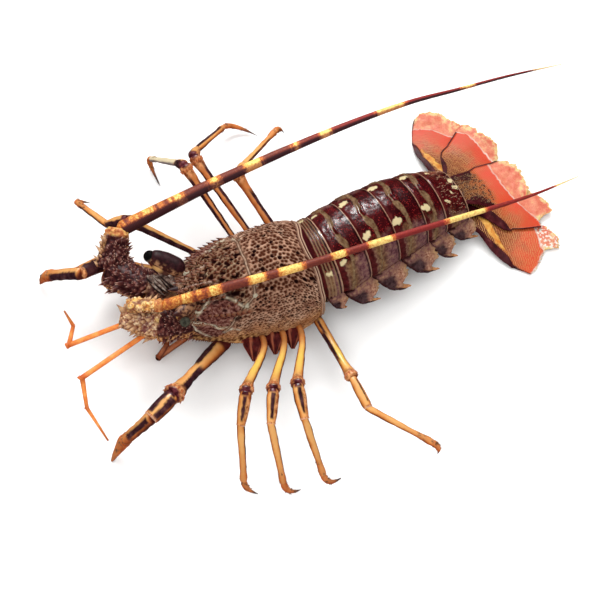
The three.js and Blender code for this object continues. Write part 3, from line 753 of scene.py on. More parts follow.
# Widths along a horn, as (share of its length, share of its radius).
BLUNT = [(-0.25, 0.4), (-0.18, 0.7), (-0.05, 0.94), (0.1, 1), (0.45, 1), (0.75, 0.88), (0.92, 0.72),
         (1, 0.4)]
POINTED = [(-0.25, 0.9), (0.1, 1), (0.4, 0.95), (0.7, 0.66), (0.88, 0.34), (1, 0.04)]
HORN_LOW_SIDE = np.array([0.7, -0.3, -0.6])  # which way the paler, mottled side of a horn faces
HORNS = [
    {"base": (14, -84, 62), "tip": (23, -100, 70), "radius": 5.4, "flat": 0.86, "profile": POINTED,
     "mottled": 0.75},
    {"base": (-16, -84.5, 66), "tip": (-26.5, -101, 75.5), "radius": 7.3, "flat": 0.92, "profile": BLUNT},
    {"base": (0, -86, 62), "tip": (0, -97, 66), "radius": 3, "flat": 0.8, "profile": POINTED},
]


def horn(skin, shape):
    """One of the two horns over the eyes, or the small one between them."""
    base = np.array(shape["base"], float)
    run = np.array(shape["tip"], float) - base
    share = np.linspace(-0.25, 1, HORN_GRID[0])
    width = np.interp(share, *zip(*shape["profile"]))
    curve = np.sin(np.clip(share, 0, 1) * math.pi)[:, None] * np.array([np.sign(base[0]) * 1.2, 0, -0.8])
    centres = base + share[:, None] * run + curve
    _, across, rise = ring_frames(np.gradient(centres, axis=0))
    ring = spokes(circle(HORN_GRID[1]), across, rise, shape["flat"])
    rings = centres[:, None] + ring * (width * shape["radius"])[:, None, None]
    points, faces = closed_tube(rings)
    under = np.maximum(smooth(unit(ring) @ HORN_LOW_SIDE, 0.1, 0.55), shape.get("mottled", 0))
    skin.add(points, faces, horn=1, horn_under=end_values(under))


def carapace_material():
    paint = Paint("carapace_shell", Specular_IOR_Level=0.0)
    low, tone, fine = paint.value("low"), paint.noise(70, 4), paint.noise(600, 4)
    upper = paint.ramp(tone, [(0.3, (160, 112, 90)), (0.5, (194, 150, 124)), (0.7, (216, 176, 150))])
    ochre = paint.ramp(tone, [(0.3, (186, 122, 80)), (0.5, (216, 156, 108)), (0.7, (240, 186, 138))])
    front = paint.mottle(190, 4, [(0.35, (104, 66, 48)), (0.52, (142, 116, 86)), (0.68, (168, 158, 128))])
    pit = paint.mix(low, (76, 36, 22), (100, 50, 26))
    colour = paint.coats(paint.mix(low, upper, ochre), ("front", front, 0.6), ("hole", pit, 1))
    colour = paint.mix(paint.span(fine, 0.6, 0.75, 0, 0.35), colour, (70, 38, 28))
    patch = paint.mottle(420, 5, [(0.36, (56, 22, 20)), (0.5, (110, 64, 56)), (0.66, (166, 122, 108))])
    ridge = paint.ramp(fine, [(0.4, (120, 84, 70)), (0.6, (196, 168, 150))])
    vein = paint.mottle(300, 3, [(0.4, (178, 160, 132)), (0.6, (240, 228, 204))])
    rim = paint.ramp(tone, [(0.35, (116, 72, 60)), (0.65, (160, 112, 92))])
    hem = paint.mottle(230, 3, [(0.36, (132, 76, 46)), (0.56, (240, 180, 118))])
    colour = paint.coats(
        colour, ("patch", patch, 1), ("soot", (38, 14, 16), 0.85), ("deep", (30, 8, 8), 1),
        ("ridge", ridge, 1), ("vein", vein, 1), ("groove", (50, 26, 20), 0.85),
        ("groove_lip", (216, 192, 166), 1), ("pale", (216, 206, 180), 0.85), ("rim", rim, 1),
        ("rim_line", (212, 178, 150), 1), ("rim_gap", (66, 20, 24), 1), ("hem", hem, 1),
        ("notch", (70, 26, 14), 1))
    return paint.finish(colour, 0.5, paint.noise(1500, 3), 0.12)


def spine_material():
    paint = Paint("shell_spines")
    spine = paint.ramp(paint.value("tip"), [
        (0.0, (150, 108, 84)), (0.35, (132, 78, 56)), (0.6, (70, 22, 20)), (0.95, (150, 92, 66))])
    horn_top = paint.mottle(420, 4, [(0.35, (34, 12, 15)), (0.7, (62, 28, 32))])
    horn_low = paint.mottle(240, 3, [(0.45, (70, 34, 30)), (0.6, (190, 138, 100))])
    colour = paint.coats(spine, ("horn", paint.coats(horn_top, ("horn_under", horn_low, 1)), 1))
    roughness = paint.span(paint.value("horn"), 0, 1, 0.45, 0.5)
    return paint.finish(colour, roughness, paint.noise(1500, 3), 0.1)


def make_carapace():
    skin = Skin()
    carapace_skin(skin)
    skin.build("carapace_shell", carapace_material(), "carapace_shell", ["carapace"])
    skin = Skin()
    shell_spines(skin)
    for number, row in enumerate(SPINE_ROWS, 1):
        spine_row(skin, *row, seed=number)
    for shape in HORNS:
        horn(skin, shape)
    skin.build("carapace_spines", spine_material(), "carapace_shell", ["carapace"])


# ---------------------------------------------------------------------------
# Head: eyes, antennae, antennules, feeding legs
# ---------------------------------------------------------------------------

# The left eye is folded back against the shell and the right one looks forward past its horn.
EYES = {
    "left": {"path": [(13, -91, 58), (19, -93, 59), (26, -92.5, 60)], "radius": 4.0, "dull": 1},
    "right": {"path": [(-15, -90, 62), (-21, -97, 67.5), (-27.5, -101.7, 73.5)], "radius": 4.6, "dull": 0},
}


def eye_material():
    paint = Paint("eye", Coat_Weight=0.7, Coat_Roughness=0.05)
    stalk = paint.ramp(paint.value("along"), [
        (0.3, (88, 52, 44)), (0.48, (228, 178, 112)), (0.66, (216, 160, 98)), (0.74, (88, 36, 28)),
        (0.92, (104, 60, 44))])
    dull = paint.mottle(300, 3, [(0.4, (54, 52, 44)), (0.6, (98, 98, 84))])
    ball = paint.coats(paint.mottle(260, 3, [(0.4, (10, 9, 9)), (0.75, (30, 30, 28))]),
                       ("rim", (110, 96, 84), 1), ("dull", dull, 0.7))
    roughness = paint.span(paint.value("cornea"), 0, 1, 0.4, 0.08)
    return paint.finish(paint.coats(stalk, ("cornea", ball, 1)), roughness)


def make_eyes():
    material = eye_material()
    for name, spec in EYES.items():
        skin = Skin()
        path = np.array(spec["path"], float)
        rings, reach, _ = tube_rings(path, [4, 4.6, spec["radius"] * 0.86], 24, 24)
        points, faces = closed_tube(rings)
        skin.add(points, faces, cornea=0, along=end_values(per_ring(reach / reach[-1], rings)))
        share = np.linspace(0, math.pi, 30)[:, None]
        angle = circle(36)[None, :]
        ball = np.stack([np.sin(share) * np.cos(angle), np.sin(share) * np.sin(angle),
                         np.cos(share) * np.ones_like(angle)], -1)
        facing = ball @ unit(path[2] - path[1])
        points, faces = closed_tube(ball * spec["radius"] + path[2])
        rim = end_values(0.7 * bell(facing, -0.28, 0.13))
        skin.add(points, faces, cornea=1, dull=spec["dull"], rim=rim)
        skin.build(f"eye_{name}_ball", material, "eye", [f"eye_{name}"])


# Each antenna has three stout segments and a whip. For a segment, tan is how pale it is, spines how many
# it has and tall how long they are, lump the size of its lumps in millimetres, and gold, bruise and front
# how strongly it is golden, bruised, or orange at its front. For a whip, dark gives the dark stretches
# in millimetres from its root, speckled how far from there it is speckled, and shade how dark its
# shaded side is.
ANTENNAE = {
    "left": {
        "stalk": [
            {"start": (19, -86, 41), "end": (14, -113, 43), "radii": (10.5, 12), "tan": 0.0, "spines": 190},
            {"start": (14.5, -109, 43.5), "end": (-2, -134, 47), "radii": (12, 9.2), "tan": 0.92,
             "spines": 170, "tall": 1.3, "lump": 4.4, "bruise": 1},
            {"start": (-2, -128, 57), "end": (9, -103.5, 62.3), "radii": (5.6, 4.8), "tan": 1.0,
             "spines": 40, "lump": 4.0, "gold": 0.75},
        ],
        "whip": [(8.9, -106, 61.9), (17.8, -55, 76.3), (20.8, 0, 77.5), (19.2, 62, 74), (14.4, 131, 63),
                 (6, 194, 46), (-6, 245, 30)],
        "radii": [4.4, 3.6, 3.0, 2.55, 2.1, 1.25, 0.4],
        "dark": [(23, 38), (49, 68), (82, 91), (111, 132), (145, 161), (184, 227), (265, 333)],
        "speckled": 43,
        "shade": 0.3,
    },
    "right": {
        "stalk": [
            {"start": (-12, -92, 40), "end": (-19, -110, 43), "radii": (10.5, 12.5), "tan": 0.2,
             "spines": 60},
            {"start": (-19, -108, 43), "end": (-43, -133, 46), "radii": (12.8, 12.6), "tan": 0.0,
             "spines": 210, "tall": 1.2},
            {"start": (-42, -130, 47), "end": (-66, -116, 62.5), "radii": (12.4, 8.6), "tan": 0.0,
             "spines": 180, "tall": 1.2, "front": 1.0},
        ],
        "whip": [(-63.4, -117.5, 62.4), (-76, -38, 67), (-88, 55, 69), (-97, 127, 64), (-102, 180, 54),
                 (-105.5, 228, 46), (-108, 277, 36)],
        "radii": [6.0, 4.3, 3.0, 2.1, 1.5, 1.1, 0.4],
        "dark": [(-9, 51), (58, 78), (89, 107), (125, 149), (157, 173), (186, 223), (252, 303), (317, 372)],
        "speckled": 56,
        "shade": 1.0,
    },
}
STALK_PROFILE = [(0, 0.8), (0.06, 0.94), (0.2, 1.0), (0.8, 1.02), (0.93, 0.97), (1, 0.8)]
STALK_FLATNESS = 0.9
STALK_GRID = (60, 84)  # rings along a segment, and points round it
LUMP_MM = 3.3  # size of the lumps where a segment gives none of its own
NOTCH_MM = 3.1  # from tooth to tooth along the lower edge of the stalks


def stalk_skin(skin, spec, last, seed):
    """One stout segment with its lumps and spines. The last one ends in a broad smooth collar."""
    start, end = np.array(spec["start"], float), np.array(spec["end"], float)
    run = end - start
    share = np.linspace(0, 1, STALK_GRID[0])
    bulk = np.interp(share, *zip(*STALK_PROFILE)) * np.interp(share, [0, 1], spec["radii"])
    centres = start + share[:, None] * run
    _, across, rise = ring_frames(np.broadcast_to(run, centres.shape))
    angle = circle(STALK_GRID[1])
    ring = spokes(angle, across, rise, STALK_FLATNESS)
    rings = centres[:, None] + ring * bulk[:, None, None]
    lump = spec.get("lump", LUMP_MM)
    near = cell_distance(rings, lump, seed)
    relief = (1 - smooth(near, 0.1, 0.5)) * lump * 0.45 + (cloud(rings, 6, seed) - 0.5) * 1.6
    under = np.broadcast_to(smooth(np.sin(angle), 0.42, 0.16)[None], rings.shape[:2])
    length_mm = share * np.linalg.norm(run)
    notch = bell(length_mm / NOTCH_MM % 1, 0.5, 0.2)[:, None] * bell(np.sin(angle), 0.16, 0.13)[None]
    rings = rings + ring * (relief * (1 - 0.6 * under))[..., None]
    points, faces = closed_tube(rings)
    collar = smooth(share, 0.76, 0.86) if last else smooth(share, 0.97, 1.0) * 0.6
    bruise = bell(share, 0.3, 0.2)[:, None] * bell(np.cos(angle), -0.45, 0.4)[None] * spec.get("bruise", 0)
    front = smooth(-np.cos(angle), 0.45, 0.8) * spec.get("front", 0)
    front = front[None] * smooth(share, 0.3, 0.5)[:, None]
    # the tops of the lumps are painted pale, partly their own colour and partly painted highlight, and the
    # hollows between them are painted dark as shade
    painted = {"under": under, "collar": per_ring(collar, rings), "front": front, "notch": notch,
               "knob": 1 - smooth(near, 0.08, 0.38), "gap": smooth(near, 0.48, 0.72), "bruise": bruise}
    painted = {key: end_values(value) for key, value in painted.items()}
    skin.add(points, faces, tan=spec["tan"], gold=spec.get("gold", 0), **painted)
    random = np.random.default_rng(seed)
    count = spec["spines"]
    turn = random.uniform(0, 2 * math.pi, count)
    at = random.uniform(0.04, 0.78 if last else 0.96, count)
    keep = (np.sin(turn) > 0.12) | (random.uniform(0, 1, count) < 0.35)
    turn, at = turn[keep], at[keep]
    out = np.cos(turn)[:, None] * across[0] + np.sin(turn)[:, None] * rise[0] * STALK_FLATNESS
    bases = start + at[:, None] * run + out * np.interp(at, share, bulk)[:, None]
    lean = unit(unit(out) * 0.85 + unit(run) * 0.6)
    heights = random.choice([1.6, 2.6, 3.8, 5.2], len(bases), p=[0.36, 0.3, 0.22, 0.12])
    heights = heights * (1 + 0.5 * smooth(at, 0.75, 1.0)) * spec.get("tall", 1.0)
    points, faces, tip = spikes(bases, lean, heights, heights * 0.24 + 0.35, 5)
    paler = np.maximum(spec["tan"], smooth(-np.cos(turn), 0.4, 0.7) * spec.get("front", 0))
    skin.add(points, faces, tip=tip, spine=1, tan=np.repeat(paler, len(tip) // len(paler)))


def stalk_material():
    paint = Paint("stalk_shell")
    tone, wide = paint.noise(420, 4), paint.noise(150, 2)
    tan, tip = paint.value("tan"), paint.value("tip")
    dark = paint.ramp(tone, [(0.34, (42, 14, 18)), (0.52, (86, 38, 38)), (0.7, (138, 80, 68))])
    pale = paint.ramp(tone, [(0.38, (126, 66, 46)), (0.5, (236, 168, 122)), (0.6, (286, 256, 206))])
    pale = paint.mix(paint.span(wide, 0.55, 0.6, 0, 0.7), pale, (136, 82, 88))
    pale = paint.mix(paint.span(wide, 0.41, 0.36, 0, 0.8), pale, (250, 206, 118))
    gold = paint.ramp(tone, [(0.36, (204, 118, 54)), (0.52, (256, 196, 98)), (0.66, (290, 258, 172))])
    bruise = paint.ramp(tone, [(0.38, (84, 44, 54)), (0.62, (148, 100, 104))])
    pale = paint.coats(pale, ("gold", gold, 1), ("bruise", bruise, 0.8))
    # pale tops of the lumps, partly their own colour and partly painted highlight, then painted shade in
    # the hollows between them
    knob = paint.mix(tan, (180, 130, 114), (255, 228, 184))
    gap = paint.mix(tan, (36, 12, 16), (122, 64, 62))
    belly = paint.ramp(tone, [(0.4, (128, 62, 36)), (0.6, (240, 178, 118))])
    front = paint.ramp(tone, [(0.4, (112, 66, 44)), (0.6, (226, 168, 106))])
    collar = paint.mottle(300, 3, [(0.35, (176, 92, 52)), (0.5, (226, 148, 90)), (0.66, (250, 204, 116))])
    # spines of the dark segments end in pale tips that are painted glints
    spine_dark = paint.ramp(tip, [(0.0, (62, 24, 26)), (0.5, (112, 62, 56)), (0.95, (222, 178, 158))])
    spine_pale = paint.ramp(tip, [(0.0, (160, 100, 70)), (0.4, (244, 198, 150)), (1.0, (150, 92, 72))])
    colour = paint.coats(
        paint.mix(tan, dark, pale), ("knob", knob, 0.6), ("gap", gap, 0.75), ("under", belly, 1),
        ("front", front, 1), ("notch", (74, 24, 18), 1), ("collar", collar, 1),
        ("spine", paint.mix(tan, spine_dark, spine_pale), 1))
    return paint.finish(colour, 0.45, paint.noise(1300, 3), 0.15)


WHIP_RING_MM = 1.25
WHIP_LIT_SIDE = np.array([-0.8, 0.3, 0.5])


def dark_bands(reach, spec, seed):
    """How dark a whip is along its length, with ragged changes between its bands."""
    ragged = (cloud_along(reach, 1.6, seed, row=seed) - 0.5) * 3
    band = np.zeros(reach.shape)
    for first, last in spec["dark"]:
        begins = smooth(reach + ragged, first - 5, first + 4)
        band = np.maximum(band, begins * smooth(reach + ragged, last + 5, last - 4))
    return band


def whip_skin(skin, spec, seed):
    length = path_places(spec["whip"], 2)[1][-1]
    rows = int(length / WHIP_RING_MM) * 3
    rings, reach, out = tube_rings(spec["whip"], spec["radii"], rows, 14)
    phase = (reach / WHIP_RING_MM) % 1
    radius = sample_rows(np.array(spec["radii"])[:, None], path_places(spec["whip"], rows)[0])[:, 0]
    swell = (0.06 * np.sin(phase * math.pi) - 0.02) * radius
    rings = rings + out * swell[:, None, None]
    centres = rings.mean(1, keepdims=True)
    rings = centres + (rings - centres) * np.sqrt(np.clip(reach / 5, 0.02, 1))[:, None, None]
    points, faces = closed_tube(rings)
    # painted shade: the side of the whip turned away from WHIP_LIT_SIDE takes the darker bands, and near
    # the root it is darker still
    under = smooth(out @ WHIP_LIT_SIDE, 0.28, -0.06) * spec["shade"]
    speckled = smooth(reach, spec["speckled"] + 5, spec["speckled"] - 5)
    fleck = cloud_along(reach, 2.2, seed + 3)
    lit_side_band = dark_bands(reach, spec, seed) * (1 - 0.75 * speckled) + (fleck - 0.42) * 0.9 * speckled
    lit_side_band = np.maximum(lit_side_band, 0.34 * smooth(reach, 26, 12))
    shade_side_band = np.maximum(dark_bands(reach, spec, seed), 0.32 * smooth(reach, 112, 96))
    band = lit_side_band[:, None] + (shade_side_band - lit_side_band)[:, None] * under
    band = band - (0.16 * np.cos(phase * 2 * math.pi))[:, None] * (1 - under)
    across = {
        "ring": (1 - np.sin(phase * math.pi)) * (0.45 + 0.55 * speckled),
        "fade": smooth(reach, length * 0.91, length * 0.99),
        "outer": smooth(reach, length * 0.3, length * 0.55)}
    painted = {key: end_values(per_ring(value, rings)) for key, value in across.items()}
    skin.add(points, faces, under=end_values(under), band=end_values(np.clip(band, 0, 1)), **painted)


def whip_material():
    paint = Paint("whip")
    band = paint.maths("ADD", paint.value("band"), paint.span(paint.noise(620, 3), 0.35, 0.65, -0.16, 0.16))
    base = paint.ramp(band, [(0.0, (296, 264, 150)), (0.2, (272, 190, 88)), (0.45, (236, 124, 56)),
                             (0.7, (164, 82, 54)), (1.0, (128, 58, 46))])
    outer = paint.ramp(band, [(0.0, (292, 264, 160)), (0.25, (264, 188, 92)), (0.5, (226, 94, 56)),
                              (0.75, (180, 60, 50)), (1.0, (156, 48, 46))])
    # low holds the painted shade on the whip's shaded side
    low = paint.ramp(band, [(0.0, (232, 158, 98)), (0.3, (140, 84, 70)), (0.8, (70, 44, 48))])
    colour = paint.coats(base, ("outer", outer, 1), ("under", low, 1), ("ring", (98, 36, 26), 0.62),
                         ("fade", (240, 222, 176), 1))
    return paint.finish(colour, 0.55)


def make_antennae():
    shell, whip = stalk_material(), whip_material()
    for name, spec in ANTENNAE.items():
        for i, segment in enumerate(spec["stalk"]):
            skin = Skin()
            stalk_skin(skin, segment, segment is spec["stalk"][-1], 30 + 7 * i + len(name))
            skin.build(f"stalk_{name}_{i + 1}", shell, "stalk_shell", [f"antenna_{name}_stalk_{i + 1}"])
        skin = Skin()
        whip_skin(skin, spec, len(name))
        skin.build(f"whip_{name}", whip, "whip", [f"antenna_{name}_whip"])


# The path of each thin feeler and its radii. FEEDING_LEG is the left one of its pair.
ANTENNULES = {
    "left": ([(9, -107.5, 36), (31, -175.5, 34), (49, -179, 20), (72, -171.5, 3)], [2.0, 2.0, 1.5, 0.7]),
    "right": ([(-3, -107.5, 34), (-5.5, -177.5, 20), (-17, -170, 26), (-26, -173, 36)],
              [2.0, 2.0, 1.5, 0.7]),
}
FEEDING_LEG = ([(10, -76, 13), (23, -116, 11), (20, -108, 21), (12, -103, 24)], [2.4, 2.3, 2.0, 1.2])
JOINT_REACH = 0.05  # how much of a link a joint takes up
JOINT_SWELL = 1.25


def jointed(points, radii):
    """The same path with a tight, slightly swollen bend at each inner point."""
    points = np.array(points, float)
    path, girths = [points[0]], [radii[0]]
    for i in range(1, len(points) - 1):
        path += [points[i] + (points[i - 1] - points[i]) * JOINT_REACH, points[i],
                 points[i] + (points[i + 1] - points[i]) * JOINT_REACH]
        girths += [radii[i], radii[i] * JOINT_SWELL, radii[i]]
    return np.array(path + [points[-1]]), girths + [radii[-1]]


def thread_skin(points, radii, lit):
    """A thin jointed limb. Where its surface faces up by less than lit it is shaded."""
    skin = Skin()
    path, girths = jointed(points, radii)
    rings, reach, out = tube_rings(path, girths, 150, 16)
    closed, faces = closed_tube(rings)
    joint = np.zeros(len(reach))
    for point in np.array(points, float)[1:-1]:
        joint = np.maximum(joint, bell(np.linalg.norm(rings.mean(1) - point, axis=1), 0, 5))
    skin.add(closed, faces, along=end_values(per_ring(reach / reach[-1], rings)),
             joint=end_values(per_ring(joint, rings)),
             under=end_values(smooth(out[..., 2], lit, lit - 0.6)))
    return skin


def thread_material(name, light, mid, dark):
    paint = Paint(name, Coat_Weight=0.1, Coat_Roughness=0.2)
    colour = paint.mottle(180, 3, [(0.3, mid), (0.65, light)])
    # the joints are darker, and under is painted shade where the limb faces away from the top
    colour = paint.coats(colour, ("joint", dark, 0.6), ("under", dark, 0.8))
    colour = paint.mix(paint.span(paint.value("along"), 0.85, 1.0, 0, 0.6), colour, (140, 70, 44))
    return paint.finish(colour, 0.38, paint.noise(900, 3), 0.08)


# Where the first slat between the antennae starts, the way to the next one, and how a slat runs.
FACE_SLATS = 8
FACE_FIRST, FACE_STEP = np.array([-24.0, -109.0, 50.5]), np.array([1.4, 2.3, 1.5])
FACE_RUN = np.array([19.0, 8.0, 1.5])


def make_face_ribs():
    """Thin raised slats across the plate between the antennae."""
    paint = Paint("face_ribs", Coat_Weight=0.1, Coat_Roughness=0.2)
    colour = paint.mottle(300, 4, [(0.36, (84, 62, 56)), (0.52, (142, 118, 106)), (0.68, (206, 190, 176))])
    # painted shade: the slats turn near-black where they face away from the top
    colour = paint.coats(colour, ("under", (30, 18, 20), 1))
    material = paint.finish(colour, 0.35, paint.noise(900, 3), 0.15)
    skin = Skin()
    random = np.random.default_rng(8)
    for i in range(FACE_SLATS):
        start = FACE_FIRST + FACE_STEP * i + random.uniform(-1, 1, 3)
        end = start + FACE_RUN * random.uniform(0.55, 1.15)
        middle = (start + end) / 2 + UP * 1.2 + random.uniform(-1, 1, 3)
        girth = random.uniform(1.2, 2.2)
        rings, _, out = tube_rings([start, middle, end], [girth, girth * 1.3, 0.4], 30, 18, 1.6)
        points, faces = closed_tube(rings)
        # under: painted shade on the sides and undersides of each slat
        skin.add(points, faces, under=end_values(smooth(out[..., 2], 0.93, 0.75)))
    skin.build("face_rib_rows", material, "underside", [])


def make_head_limbs():
    thread = thread_material("antennule", (276, 180, 98), (256, 128, 56), (196, 74, 34))
    mouth = thread_material("feeding_leg", (236, 150, 104), (206, 100, 56), (92, 36, 22))
    for name, side in SIDES.items():
        feeler = thread_skin(*ANTENNULES[name], 0.3)
        feeler.build(f"antennule_{name}_thread", thread, "antennule", [f"antennule_{name}"])
        mirror = np.array([side, 1, 1])
        skin = thread_skin(np.array(FEEDING_LEG[0]) * mirror, FEEDING_LEG[1], 0.85)
        skin.build(f"mouth_leg_{name}", mouth, "leg_shell", [f"feeding_leg_{name}"])


# ---------------------------------------------------------------------------
# Abdomen
# ---------------------------------------------------------------------------

TAIL_PIVOT_Y = 14.0
TAIL_BEND = math.radians(11.5)
TAIL_BEND_RUN = 40.0
# At each ring's ends: distance behind the carapace, top, half-width, height of the belly, and how far
# out and how high the side flap's tip is.
JOINTS = [
    (0.3, 67, 33, 22, 36, 24),
    (12, 68, 34, 22, 41, 22),
    (35, 71.5, 34, 22, 47, 17),
    (62, 73, 32.5, 22, 47, 15),
    (90, 68, 30, 20, 44, 13),
    (110, 60, 27, 17, 41, 12),
    (134, 43, 24, 13, 33, 11),
]
ARCH_ROUNDNESS = 2.1
SIDE_HEIGHT = 0.35
OVERLAP = 0.045  # how far a ring of shell runs over the next one, as a share of its length
# Cream spots as (share of the length, mm out from the middle of the back, radius).
SPOTS = {
    1: [(0.4, 25.5, 2.4)], 2: [(0.17, 23, 2.3)], 3: [(0.2, 17, 3.2)], 4: [(0.17, 18.8, 3.6)],
    5: [(0.22, 17.5, 3.5)], 6: [(0.3, 16, 1.6), (0.9, 3, 2.0), (0.62, 8, 1.2)],
}
# The furrow across each large ring, as (mm out from the middle, share of the length, half-width in mm).
FURROW = [(0, 0.38, 0.3), (2.5, 0.38, 0.5), (4, 0.4, 2.0), (9, 0.46, 2.4), (16, 0.5, 1.7), (26, 0.5, 1.3),
          (36, 0.4, 0.9), (60, 0.26, 0.8)]
FLANK_MM = 24.0  # how far out the dark back gives way to the mottled flank
FIRST_RING_LINES = [0.16, 0.36, 0.55, 0.78]  # folds across the short first ring, as shares of its length
FURROWED_RINGS = (2, 3, 4, 5)
LAST_RING = 6
# The rounded end behind the last ring: share of that ring's size, and millimetres beyond it.
CAP_STEPS = [(0.96, 0.8), (0.86, 1.9), (0.66, 2.9), (0.4, 3.4), (0.15, 3.6)]
RING_GRID = (84, 150)  # rows along a ring, and points over its back
FLAP_GRID = (50, 28)  # rows down a side flap, and points along it


def bend_tail(points):
    points = np.array(points, float)
    behind = points[..., 1] - TAIL_PIVOT_Y
    angle = TAIL_BEND * smooth(behind, -TAIL_BEND_RUN / 2, TAIL_BEND_RUN)
    x = points[..., 0] * np.cos(angle) - behind * np.sin(angle)
    y = TAIL_PIVOT_Y + points[..., 0] * np.sin(angle) + behind * np.cos(angle)
    return np.stack([x, y, points[..., 2]], -1)


def ring_table(number, share):
    """Sizes of the abdomen at a share of a segment's length, and how far back that is."""
    rows = sample_rows(JOINTS, number - 1 + np.clip(share, 0, 1))
    front, rear = JOINTS[number - 1][0], JOINTS[number][0]
    at = front + share * (rear - front)
    _, top, half, belly, tip_half, tip_z = np.moveaxis(rows, -1, 0)
    swell = np.sin(np.clip(share, 0, 1) * math.pi)
    return at, top + 0.6 * swell, half * (1 + 0.02 * swell), belly, tip_half, tip_z


def domed_end(rings):
    """The same rings with a low rounded end beyond the last one."""
    last = rings[-1:]
    middle = last.mean(1, keepdims=True)
    beyond = unit(middle - rings[-2:-1].mean(1, keepdims=True))
    return np.concatenate([rings] + [middle + (last - middle) * size + beyond * reach for size,
                                     reach in CAP_STEPS])


def capped_values(values, on_cap=None):
    """Painted values for domed_end, whose cap repeats the last ring's or has one value of its own."""
    last = values[-1:] if on_cap is None else np.full_like(values[-1:], on_cap)
    return np.concatenate([values] + [last] * len(CAP_STEPS))


def tergite_skin(skin, number):
    """The arched plate of one ring, with its belly closed across."""
    share = np.linspace(-0.06, 1 + OVERLAP, RING_GRID[0])[:, None]
    turn = np.linspace(-1, 1, RING_GRID[1])[None, :]
    share, turn = np.broadcast_arrays(share, turn)
    at, top, half, belly, _, tip_z = ring_table(number, share)
    foot = tip_z + (top - tip_z) * SIDE_HEIGHT
    angle = (1 - np.abs(turn)) * math.pi / 2
    x = np.sign(turn) * half * np.cos(angle) ** (2 / ARCH_ROUNDNESS)
    z = foot + (top - foot) * np.sin(angle) ** (2 / ARCH_ROUNDNESS)
    flat = np.stack([x, TAIL_PIVOT_Y + at, z], -1)
    out_mm = np.abs(turn) * (half + top - foot) * 0.78
    length = JOINTS[number][0] - JOINTS[number - 1][0]
    rough = cloud(flat, 4.5, number + 20) - 0.5
    fine = cloud(flat, 1.6, number + 30) - 0.5
    steps, furrow_share, furrow_width = np.array(FURROW).T
    offset_mm = (share - np.interp(out_mm, steps, furrow_share)) * length + rough * 1.2
    width = np.interp(out_mm, steps, furrow_width) + fine * 0.8
    has_furrow = float(number in FURROWED_RINGS)
    furrow = has_furrow * (1 - smooth(np.abs(offset_mm), width * 0.8, width * 1.15))
    flank = smooth(out_mm + rough * 7 + fine * 4, FLANK_MM - 3, FLANK_MM + 5)
    strip = smooth(share + fine * 0.06, 0.15 + 0.08 * flank, 0.1 + 0.07 * flank)
    lines = 0.0
    if number == 1:
        lines = sum(bell((share - line) * length + fine * 0.5, 0, 0.55) for line in FIRST_RING_LINES)
    relief = -1.2 * smooth(share, 0.1, -0.04)
    dip = 0.9 * bell(offset_mm, 0, 1.3) - 0.7 * bell(offset_mm, 2.2, 1.0)
    rear_tuck = 1.4 * smooth(share, 1 + OVERLAP * 0.35, 1 + OVERLAP)
    relief = relief - has_furrow * dip * (1 - flank)
    relief = relief + 0.6 * furrow * flank + 0.7 * lines - rear_tuck
    relief = relief + rough * 0.6 + fine * (0.12 + 0.4 * flank) + 0.25 * (number == LAST_RING) * fine
    outer = bend_tail(flat + grid_normals(flat) * relief[..., None])
    spot = np.zeros(share.shape)
    for spot_at, spot_out, radius in SPOTS[number]:
        distance = np.hypot((share - spot_at) * length * 0.75, out_mm - spot_out) + fine * 2.2 + rough * 1.2
        spot = np.maximum(spot, 1 - smooth(distance, radius * 0.75, radius * 0.75 + 0.6))
    inner = bend_tail(np.stack([x * 0.86, TAIL_PIVOT_Y + at, np.minimum(z, belly + 1.5)], -1))
    rings = np.concatenate([outer, inner[:, -1:], inner[:, :1]], 1)
    points, faces = closed_tube(domed_end(rings) if number == LAST_RING else rings)
    edge_mm = (share - 1 - OVERLAP) * length + fine * 0.4

    def painted(value, on_cap=None):
        value = np.broadcast_to(value, share.shape)
        value = np.concatenate([value, value[:, -1:], value[:, :1]], 1)
        return end_values(capped_values(value, on_cap) if number == LAST_RING else value)

    skin.add(points, faces, furrow=painted(furrow), spot=painted(spot), flank=painted(flank),
             edge=painted(smooth(edge_mm, -1.5, -0.9), on_cap=0.0), seam=painted(bell(edge_mm, -2.3, 0.7)),
             strip=painted(strip), lines=painted(np.clip(lines, 0, 1)),
             olive=painted(bell(share, 0.38, 0.2)))
    if number == LAST_RING:
        last_ring_spines(skin, outer, grid_normals(outer))


def last_ring_spines(skin, surface, normals, seed=3):
    """Small pale backward-leaning spines over the last ring."""
    random = np.random.default_rng(seed)
    rows, lanes = random.integers(14, 78, 130), random.integers(26, 124, 130)
    normal = normals[rows, lanes]
    lean = unit(normal * 0.6 + np.array([-0.15, 0.95, -0.25]))
    height = random.uniform(0.9, 1.9, len(rows))
    skin.add_spines(surface[rows, lanes] - normal * 0.2, lean, height, 0.45, 5)


# Front and rear edge of a side flap, as (share of the way down, share of the ring's length).
FLAP_FRONT = [(0, 0.03), (0.2, 0.1), (0.45, 0.24), (0.7, 0.4), (0.86, 0.56), (0.95, 0.74), (1, 0.98)]
FLAP_REAR = [(0, 1.02), (0.15, 1.08), (0.4, 1.16), (0.55, 1.1), (0.66, 0.92), (0.74, 0.86), (0.84, 0.92),
             (0.93, 1.04), (1, 1.1)]


